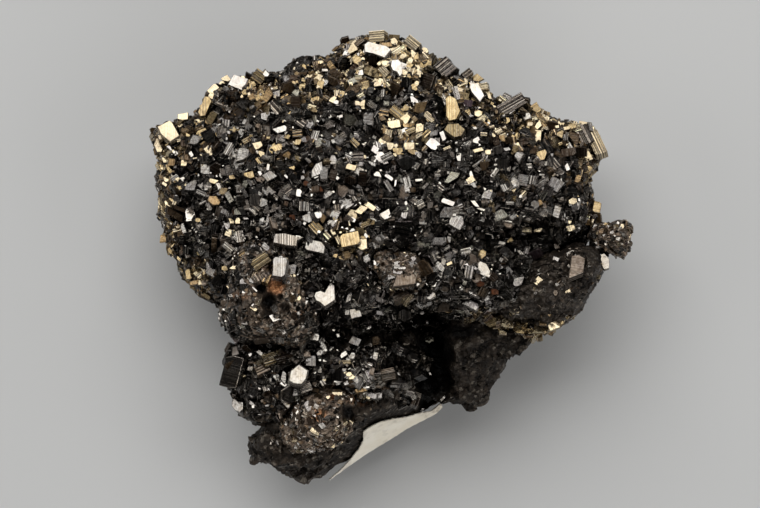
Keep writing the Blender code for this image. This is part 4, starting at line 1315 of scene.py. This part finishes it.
def facePoints(name, perArea):
    # points spread over the solid's surface with their normals
    bm = weldedMesh(name)
    bm.normal_update()
    bmesh.ops.triangulate(bm, faces=bm.faces)
    points = []
    for face in bm.faces:
        expected = face.calc_area() / mm**2 * perArea
        count = int(expected) + (rng.random() < expected % 1.0)
        corners = [v.co.copy() for v in face.verts]
        normals = [v.normal.copy() for v in face.verts]
        for _ in range(count):
            a, b = sorted((rng.random(), rng.random()))
            shares = (a, b - a, 1.0 - b)
            point = sum((c * s for c, s in zip(corners, shares)), Vector())
            normal = sum((n * s for n, s in zip(normals, shares)), Vector())
            points.append((point, normal.normalized()))
    bm.free()
    rng.shuffle(points)
    return points


class Crowd:
    # remembers in cells where crystals stand, so that the next keeps its distance
    def __init__(self, cell, largest):
        self.cell = cell
        self.largest = largest
        self.cells = {}

    def key(self, point):
        return tuple(int(math.floor(c / self.cell)) for c in point)

    def free(self, point, radius):
        i, j, k = self.key(point)
        reach = math.ceil((radius + self.largest) / self.cell)
        for x in range(i - reach, i + reach + 1):
            for y in range(j - reach, j + reach + 1):
                for z in range(k - reach, k + reach + 1):
                    for other, size in self.cells.get((x, y, z), ()):
                        if (other - point).length < size + radius:
                            return False
        return True

    def add(self, point, radius):
        self.cells.setdefault(self.key(point), []).append((point, radius))


crowd = Crowd(0.002, 0.0022)  # metres
for middle, radius in taken:
    crowd.add(middle, knownLook["keepOff"] * radius)

eyes = {
    # the pixel round which the plates of each rounded mass are arranged
    "nodule_left": (270, 302), "nodule_right": (560, 300), "nub_right": (620, 238),
    "rosette_centre": (404, 288), "rosette_bottom": (331, 417),
}


def roundEye(point, normal, look):
    # an axis that points away from the eye, so that the plates run round it
    u, v = toPixel(point)
    away = Vector((u - look["eye"][0], look["eye"][1] - v, 0.0)).normalized()
    away = (away - normal * away.dot(normal)).normalized()
    away = Matrix.Rotation(rng.gauss(0, look["eyeSpread"]), 3, normal) @ away
    angle = math.radians(rng.uniform(*look["eyeLeans"]))
    return (normal * math.cos(angle) + away * math.sin(angle)).normalized()


def leanFrom(normal, degrees):
    # an axis that leans this far from the normal, to any side
    tangent = normal.orthogonal().normalized()
    tangent = Matrix.Rotation(rng.random() * math.tau, 3, normal) @ tangent
    angle = math.radians(degrees)
    return (normal * math.cos(angle) + tangent * math.sin(angle)).normalized()


def plateCount(radius, thick, normal, look):
    plates = max(1, min(look["mostPlates"], round(thick / (rng.uniform(*look["plate"]) * mm))))
    for below, most in look["fewPlates"]:
        if radius < below * mm:
            plates = min(plates, most)
    if normal.z < 0.0:  # out of sight in the photograph
        plates = 1 + (radius > look["hiddenStack"] * mm)
    return plates


def growOne(heap, point, normal, radius, look, finish):
    # one crystal of the crust, its tip near the solid's surface
    onEdge = rng.random() < look["edgeShare"]
    shines = finish in look["shining"] and normal.z > -0.1 and rng.random() < look["shineShare"]
    short = radius * rng.uniform(*look["narrow"])
    thick = radius * rng.uniform(*look["stack" if onEdge else "flat"])
    outline = anyOutline(radius, short)
    if radius < sliver:
        outline = outline[:4]
    side = None
    if "eye" in look and onEdge:
        axis = roundEye(point, normal, look)
    elif onEdge and shines:
        axis, side, other = edgeAxes(rng.uniform(0, 360), True)
        outline = blockOutline(radius, short)
    elif onEdge:
        axis = leanFrom(normal, rng.uniform(*look["edgeLeans"]))
    elif shines:
        axis = leaning(*leanFor("white"))
    else:
        axis = leanFrom(normal, rng.uniform(*look["faceLeans"]))
    if side is None:
        side = Matrix.Rotation(rng.random() * math.tau, 3, axis) @ axis.orthogonal().normalized()
        other = axis.cross(side)
    plates = plateCount(radius, thick, normal, look)
    tilt = abs(axis.dot(normal))
    upright = radius * math.sqrt(max(1 - tilt * tilt, 0.0)) * look["seated"]
    support = upright + 0.5 * thick * tilt
    sunk = hollowAt(point) * look["sink"]
    rise = look["rise"] * mm * (rng.random() ** 2)
    centre = point - normal * (support + sunk - rise)
    growCrystal(heap, centre, axis, side, other, outline, thick, plates, finish)
    broad = not onEdge and radius > terrace["from"] * mm and normal.z > 0.0
    if broad and rng.random() < terrace["chance"]:
        size, shift = terrace["size"], terrace["shift"] * radius
        small = [(x * size + shift, y * size) for x, y in outline]
        place = centre + axis * (0.5 * thick + terrace["rise"] * mm)
        growCrystal(heap, place, axis, side, other, small, terrace["thick"] * mm, 1, finish)


pits = [
    # pixel, half sizes in pixels, depth in mm, how black, which is painted shade
    (260.6, 288, 6, 7.5, 3.0, 1.0), (268.5, 302, 8.5, 9.5, 3.6, 1.0), (267, 315, 6, 6, 2.2, 0.9),
    (276, 286.5, 9, 7.5, 1.4, 0.0), (281, 297, 4, 3.5, 1.5, 0.9), (286, 308, 5, 6, 1.2, 0.7),
    (236, 303, 6, 4, 1.8, 0.95), (350, 413, 8, 9, 3.4, 1.0),
    (405, 315, 7, 6, 1.5, 0.8), (382, 298, 5, 5, 1.2, 0.8), (256, 262, 8, 6, 0.5, 0.0),
    (432, 362, 20, 50, 8.0, 1.0), (424, 396, 9, 16, 5.0, 1.0), (463, 333, 16, 7, 1.5, 0.8),
]
# inside the deeper pits, and a little round them, nothing grows
bareSpots = [(u, v, ru + 2, rv + 2) for u, v, ru, rv, deep, _ in pits if deep > 1.0]
stains = [
    # rust: pixel, half sizes in pixels, strength
    (276, 286.5, 9.5, 8, 1.0), (319, 416, 8, 7, 0.9), (240, 296, 7, 5, 0.4), (300, 313, 5, 6, 0.35),
    (263, 262, 10, 7, 0.35), (333, 397, 5, 3, 0.6), (360, 398, 14, 7, 0.35),
]


def mayGrow(point, normal, radii, look):
    here = toPixel(point)
    if "where" in look and not look["where"](point, normal):
        return False
    if any(pastOval(here, *bare) < 1.0 for bare in bareSpots):
        return False
    if radii[1] < look["sparseBelow"] and normal.z < 0.0 and rng.random() < look["sparse"]:
        return False
    return radii[1] * mm > sliver or normal.z >= look["sliverFacing"]


def makeCrust(name, look):
    count = 0
    for radii, density in look["sizes"]:
        for point, normal in facePoints(name, density):
            if not mayGrow(point, normal, radii, look):
                continue
            radius = rng.uniform(*radii) * mm
            clear = radius * look["keepOff"]
            if not crowd.free(point, clear):
                continue
            crowd.add(point, clear)
            finish = finishAt(point, look["mixture"])
            if radii[1] * mm < sliver and finish in dimFinishes:
                finish = rng.choice(paintedGlints)
            growOne(heapAt(name, point), point, normal, radius, look, finish)
            count += 1
    print(name, "crystals:", count)


def voxelCopy(name, label, voxel):
    # the solid as an even fine mesh of its own
    bm = weldedMesh(name)
    mesh = bpy.data.meshes.new(label)
    bm.to_mesh(mesh)
    bm.free()
    obj = addObject(label, mesh)
    remesh = obj.modifiers.new("remesh", "REMESH")
    remesh.mode = "VOXEL"
    remesh.voxel_size = voxel * mm
    remesh.use_smooth_shade = True
    seen = obj.evaluated_get(bpy.context.evaluated_depsgraph_get())
    fine = bpy.data.meshes.new_from_object(seen)
    obj.modifiers.clear()
    obj.data = fine
    fine.name = label
    fine.materials.clear()
    return obj


def pushIn(obj, depthAt, dropAt=lambda co, normal: 0.0):
    # move each point of the mesh inwards, and straight down, by what these give for it
    verts = obj.data.vertices
    moved = [v.co - v.normal * depthAt(v.co, v.normal)
             - Vector((0, 0, dropAt(v.co, v.normal))) for v in verts]
    for vert, place in zip(verts, moved):
        vert.co = place


def brokenFacets(name, spacing, tilt, limit):
    # flat broken faces: each point goes to the plane of its nearest seed
    seeds = facePoints(name, 1.0 / spacing**2)
    tree = KDTree(len(seeds))
    planes = []
    for index, (point, normal) in enumerate(seeds):
        tree.insert(point, index)
        planes.append(leanFrom(normal, abs(rng.gauss(0, tilt))))
    tree.balance()
    leastFacing = 0.35  # keeps points from running far along a steep plane

    def depth(co, normal):
        seed, index, _ = tree.find(co)
        facing = max(planes[index].dot(normal), leastFacing)
        away = (seed - co).dot(planes[index]) / facing
        return -max(min(away, limit * mm), -limit * mm)

    return depth


def grain(co, size):
    # fine roughness of broken stone
    return noise.fractal(co / (size * mm), 0.8, 2.1, 4)


bedLook = {"inset": 1.3, "voxel": 1.05, "lumps": 0.5, "lumpSize": 0.9}  # mm


def makeBed(name, label):
    # the ground that the crystals grow on, under their tips, near black: painted shade for the gaps
    # between them
    bed = voxelCopy(name, label, bedLook["voxel"])
    pushIn(bed, lambda co, normal: bedLook["inset"] * mm + hollowAt(co)
           + bedLook["lumps"] * mm * noise.noise(co / (bedLook["lumpSize"] * mm)))
    bed.data.shade_flat()
    bed.data.materials.append(crustShadow)
    standFor(bed, name)


makeBed("druse_upper", "upperBed")
makeBed("druse_lower", "lowerBed")
print("beds made")


def pitAt(co, normal):
    # how deep the pits go there, how black, which is painted shade, and how rusty it is
    sunk, black, rusty = 0.0, 0.0, 0.0
    if normal.z > 0.0:
        here = toPixel(co)
        for *place, deep, dark in pits:
            near = spot(here, *place, power=3)
            sunk += deep * mm * near
            black = max(black, dark * near)
        for *place, strong in stains:
            rusty = max(rusty, strong * spot(here, *place, power=2))
    return sunk, black, rusty


def markStone(obj):
    # remember on the mesh where the pits are painted black as shade and where it is rusty, before
    # it is moved
    marks = [pitAt(v.co, v.normal)[1:] for v in obj.data.vertices]
    for key, index in (("pitShade", 0), ("stain", 1)):
        attribute = obj.data.attributes.new(key, "FLOAT", "POINT")
        attribute.data.foreach_set("value", [m[index] for m in marks])


noduleShape = {
    # in mm unless said
    "voxel": {"nodule_left": 0.32, "nodule_right": 0.46, "nub_right": 0.24,
              "rosette_centre": 0.3, "rosette_bottom": 0.34},
    "inset": 0.35,
    "leathery": ["nodule_right"],
    "leatherFacets": (2.6, 16, 0.35),  # spacing, tilt in degrees, most depth
    "facets": (1.5, 16, 0.35),
    "grain": 0.3,
    "grainSize": 1.0,
    "calm": 0.8,  # share of the roughness that pits and rust take away
    "ripple": 0.28,
    "rippleWidth": 3.4,  # pixels
    "wander": (5.0, 4.0),  # by how many pixels ripples wander, and over what length
    "ripplePatches": (2.5, 0.25),  # size of their patches, and how much these spread
}


def ripple(co, eye):
    # plates seen on their edge as low ridges round the eye of a rounded mass
    u, v = toPixel(co)
    wander, length = noduleShape["wander"]
    size, spread = noduleShape["ripplePatches"]
    away = math.hypot(u - eye[0], v - eye[1]) + wander * noise.noise(co / (length * mm))
    strong = max(noise.noise(co / (size * mm) + elsewhere) + spread, 0.0)
    ridge = math.sin(away * math.tau / noduleShape["rippleWidth"])
    return noduleShape["ripple"] * mm * strong * ridge


def makeNodule(name):
    skin = voxelCopy(name, name + "Skin", noduleShape["voxel"][name])
    leathery = name in noduleShape["leathery"]
    facets = brokenFacets(name, *noduleShape["leatherFacets" if leathery else "facets"])
    markStone(skin)

    def depth(co, normal):
        _, black, rusty = pitAt(co, normal)
        fine = noduleShape["grain"] * mm * grain(co, noduleShape["grainSize"])
        rough = facets(co, normal) + ripple(co, eyes[name]) + fine
        calm = 1.0 - noduleShape["calm"] * max(black, rusty)
        return noduleShape["inset"] * mm + rough * calm

    pushIn(skin, depth, lambda co, normal: pitAt(co, normal)[0])
    skin.data.materials.append(leatherSkin if leathery else noduleSkin)
    standFor(skin, name)


for name in nodules:
    makeNodule(name)
print("nodules made")


def labelPlane():
    # the way the paper faces, and how far out its back lies
    solid = weldedMesh("paper_label")
    out = max(solid.faces, key=lambda f: f.calc_area()).normal.copy()
    out = out if out.z > 0 else -out
    back = min(v.co.dot(out) for v in solid.verts)
    solid.free()
    return out, back


rockLook = {
    # in mm unless said
    "voxel": 0.74,
    "inset": 0.2,
    "facets": ((6.0, 14, 1.1), (2.2, 18, 0.5)),  # spacing, tilt in degrees, most depth
    "grain": 0.42,
    "grainSize": 1.4,
    "restsBelow": 1.2,  # the resting facet stays flat
    "calmNear": (3.0, 0.3),  # so near the paper it is only this share as rough
    "filled": ((321, 478, 12, 2.4), (434, 408, 10, 1.6)),  # pixel, size in pixels, by how much
    "paperGap": 0.35,
    "paperReach": 6.0,  # how far round the paper that gap is kept
    "sharpFrom": 38,  # degrees
}


def makeRock():
    rock = voxelCopy("matrix", "massiveRock", rockLook["voxel"])
    layers = [brokenFacets("matrix", *values) for values in rockLook["facets"]]
    labelTree, _ = surfaceTree(["paper_label"])
    out, back = labelPlane()
    calmNear, calm = rockLook["calmNear"]

    def depth(co, normal):
        if co.z < rockLook["restsBelow"] * mm:
            return 0.0
        sunk = rockLook["inset"] * mm + rockLook["grain"] * mm * grain(co, rockLook["grainSize"])
        sunk += sum(layer(co, normal) for layer in layers)
        if labelTree.find_nearest(co)[3] < calmNear * mm:
            sunk *= calm
        here = toPixel(co)
        for u, v, size, amount in rockLook["filled"]:
            near = spot(here, u, v, size, size)
            sunk -= amount * mm * near * (1.0 - abs(normal.dot(out)))
        return sunk

    markStone(rock)
    pushIn(rock, depth, lambda co, normal: max(normal.z, 0.0) * pitAt(co, normal)[0])
    for vert in rock.data.vertices:  # clear of the paper, and not below the floor
        over = vert.co.dot(out) - back + rockLook["paperGap"] * mm
        if over > 0.0 and labelTree.find_nearest(vert.co)[3] < rockLook["paperReach"] * mm:
            vert.co -= out * over
        vert.co.z = max(vert.co.z, 0.0)
    rock.data.set_sharp_from_angle(angle=math.radians(rockLook["sharpFrom"]))
    rock.data.materials.append(rockSkin)
    standFor(rock, "matrix")


makeRock()
print("rock made")

crustPlaces = {
    # ovals: pixel and half sizes in pixels
    "leftNodule": (274, 298, 31, 44),
    "wedgeTop": (305, 415, 52, 26),
    "wedgeStrip": (385, 385, 30, 20),
    "wedgeShare": 0.6,  # how many crystals the top has, and the strip as a share of that
    "stripShare": 0.35,
    "wedgeFacing": 0.3,
}


def besideNodule(point, normal):
    # the sides of the left nodule, where the dark crystals of the field come up to it
    return pastOval(toPixel(point), *crustPlaces["leftNodule"]) > 1.0


def onWedge(point, normal):
    # the top of the wedge, where fine brown crystals grow
    here = toPixel(point)
    strip = crustPlaces["stripShare"] * spot(here, *crustPlaces["wedgeStrip"], power=2)
    share = max(spot(here, *crustPlaces["wedgeTop"], power=2), strip)
    facesUp = normal.z > crustPlaces["wedgeFacing"]
    return facesUp and rng.random() < crustPlaces["wedgeShare"] * share


makeCrust("druse_upper", crustLook)
makeCrust("druse_lower", crustLook)
makeCrust("nodule_left", crustLook | {"where": besideNodule, "sink": 0.0})
for name, share in (("nodule_left", 1.0), ("rosette_centre", 1.3), ("rosette_bottom", 0.5),
                    ("nub_right", 1.0)):
    makeCrust(name, noduleLook | {"eye": eyes[name], "sizes": [
        (radii, share * density) for radii, density in noduleLook["sizes"]]})
makeCrust("nodule_right", noduleLook | {
    "sizes": [((0.9, 1.5), 0.04), ((0.5, 0.8), 0.16)], "rise": 0.0, "eye": eyes["nodule_right"]})
makeCrust("matrix", noduleLook | {"where": onWedge, "mixture": "earthy"})
for (node, label), heap in heaps.items():
    standFor(heapObject(label, heap, druseMetal), node)
    print(label, "triangles:", sum(len(f) - 2 for f in heap["faces"]))

labelLook = {
    # in mm unless said
    "voxel": 0.27,
    "wave": 0.25,
    "waveSize": 7.0,
    "stands": 0.12,  # how far it stands off the solid's face
    "fray": 0.22,
    "fraySize": 0.8,
    "soilSize": 0.6,
    "soil": (0.6, 0.8),  # how strong soil is on the whole, and how much it varies
    "cutFacing": 0.7,  # points that face less out than this are on the cut edge
    # soiled and worn places: pixel, half sizes in pixels, strength
    "worn": [(434, 408, 9, 4, 0.9), (441, 404, 4, 3, 0.6), (424, 414, 8, 3, 0.35),
             (344, 466, 9, 5, 0.35), (364, 434, 4, 4, 0.3), (395, 421, 12, 2, 0.2)],
}


def makeLabel():
    # the paper, a little waved and frayed, worn at its ends
    out, _ = labelPlane()
    paper = voxelCopy("paper_label", "paperLabel", labelLook["voxel"])
    soil, patchy = labelLook["soil"]
    worn, moved = [], []
    for vert in paper.data.vertices:
        here = toPixel(vert.co)
        near = max(strong * spot(here, *place) for *place, strong in labelLook["worn"])
        worn.append(near * (soil + patchy * noise.noise(vert.co / (labelLook["soilSize"] * mm))))
        wave = labelLook["wave"] * noise.noise(vert.co / (labelLook["waveSize"] * mm))
        place = vert.co + out * ((wave + labelLook["stands"]) * mm)
        if abs(vert.normal.dot(out)) < labelLook["cutFacing"]:
            place -= (vert.normal * labelLook["fray"] * mm
                      * noise.noise(vert.co / (labelLook["fraySize"] * mm)))
        moved.append(place)
    for vert, place in zip(paper.data.vertices, moved):
        vert.co = place
    paper.data.attributes.new("worn", "FLOAT", "POINT").data.foreach_set("value", worn)
    paper.data.materials.append(oldPaper)
    standFor(paper, "paper_label")


makeLabel()
print("label made")

studio = {
    "floorSize": 3.0,
    "floorColor": (0.68, 0.68, 0.67, 1.0),
    "floorRoughness": 0.9,
    "background": (0.042, 0.042, 0.042, 1.0),
    "aim": (0.0, 0.0, 0.03),
    # name, place, width, height, power
    "lights": [
        ("keyLight", (-0.09, 0.61, 0.76), 1.1, 0.9, 8.0),
        ("leftLight", (-0.80, 0.0, 0.45), 0.5, 0.7, 1.2),
        ("rightLight", (0.80, -0.05, 0.45), 0.5, 0.7, 1.2),
        ("frontLight", (0.35, -0.90, 0.34), 0.9, 0.4, 4.0),
    ],
}


def makeFloor():
    bm = bmesh.new()
    bmesh.ops.create_grid(bm, x_segments=2, y_segments=2, size=studio["floorSize"])
    mesh = bpy.data.meshes.new("floor")
    bm.to_mesh(mesh)
    bm.free()
    floor = addObject("floor", mesh)
    material, _, shader = newMaterial("paleFloor")
    shader.inputs["Base Color"].default_value = studio["floorColor"]
    shader.inputs["Roughness"].default_value = studio["floorRoughness"]
    floor.data.materials.append(material)


def makeLights():
    for name, place, width, height, power in studio["lights"]:
        data = bpy.data.lights.new(name, "AREA")
        data.shape = "RECTANGLE"
        data.size = width
        data.size_y = height
        data.energy = power
        light = addObject(name, data)
        light.location = place
        aim = Vector(studio["aim"]) - Vector(place)
        light.rotation_euler = aim.to_track_quat("-Z", "Y").to_euler()
    world = bpy.data.worlds.new("studio")
    world.use_nodes = True
    background = world.node_tree.nodes["Background"].inputs
    background["Color"].default_value = studio["background"]
    background["Strength"].default_value = 1.0
    scene.world = world


makeFloor()
makeLights()
scene.view_settings.view_transform = "Standard"
print("studio made")
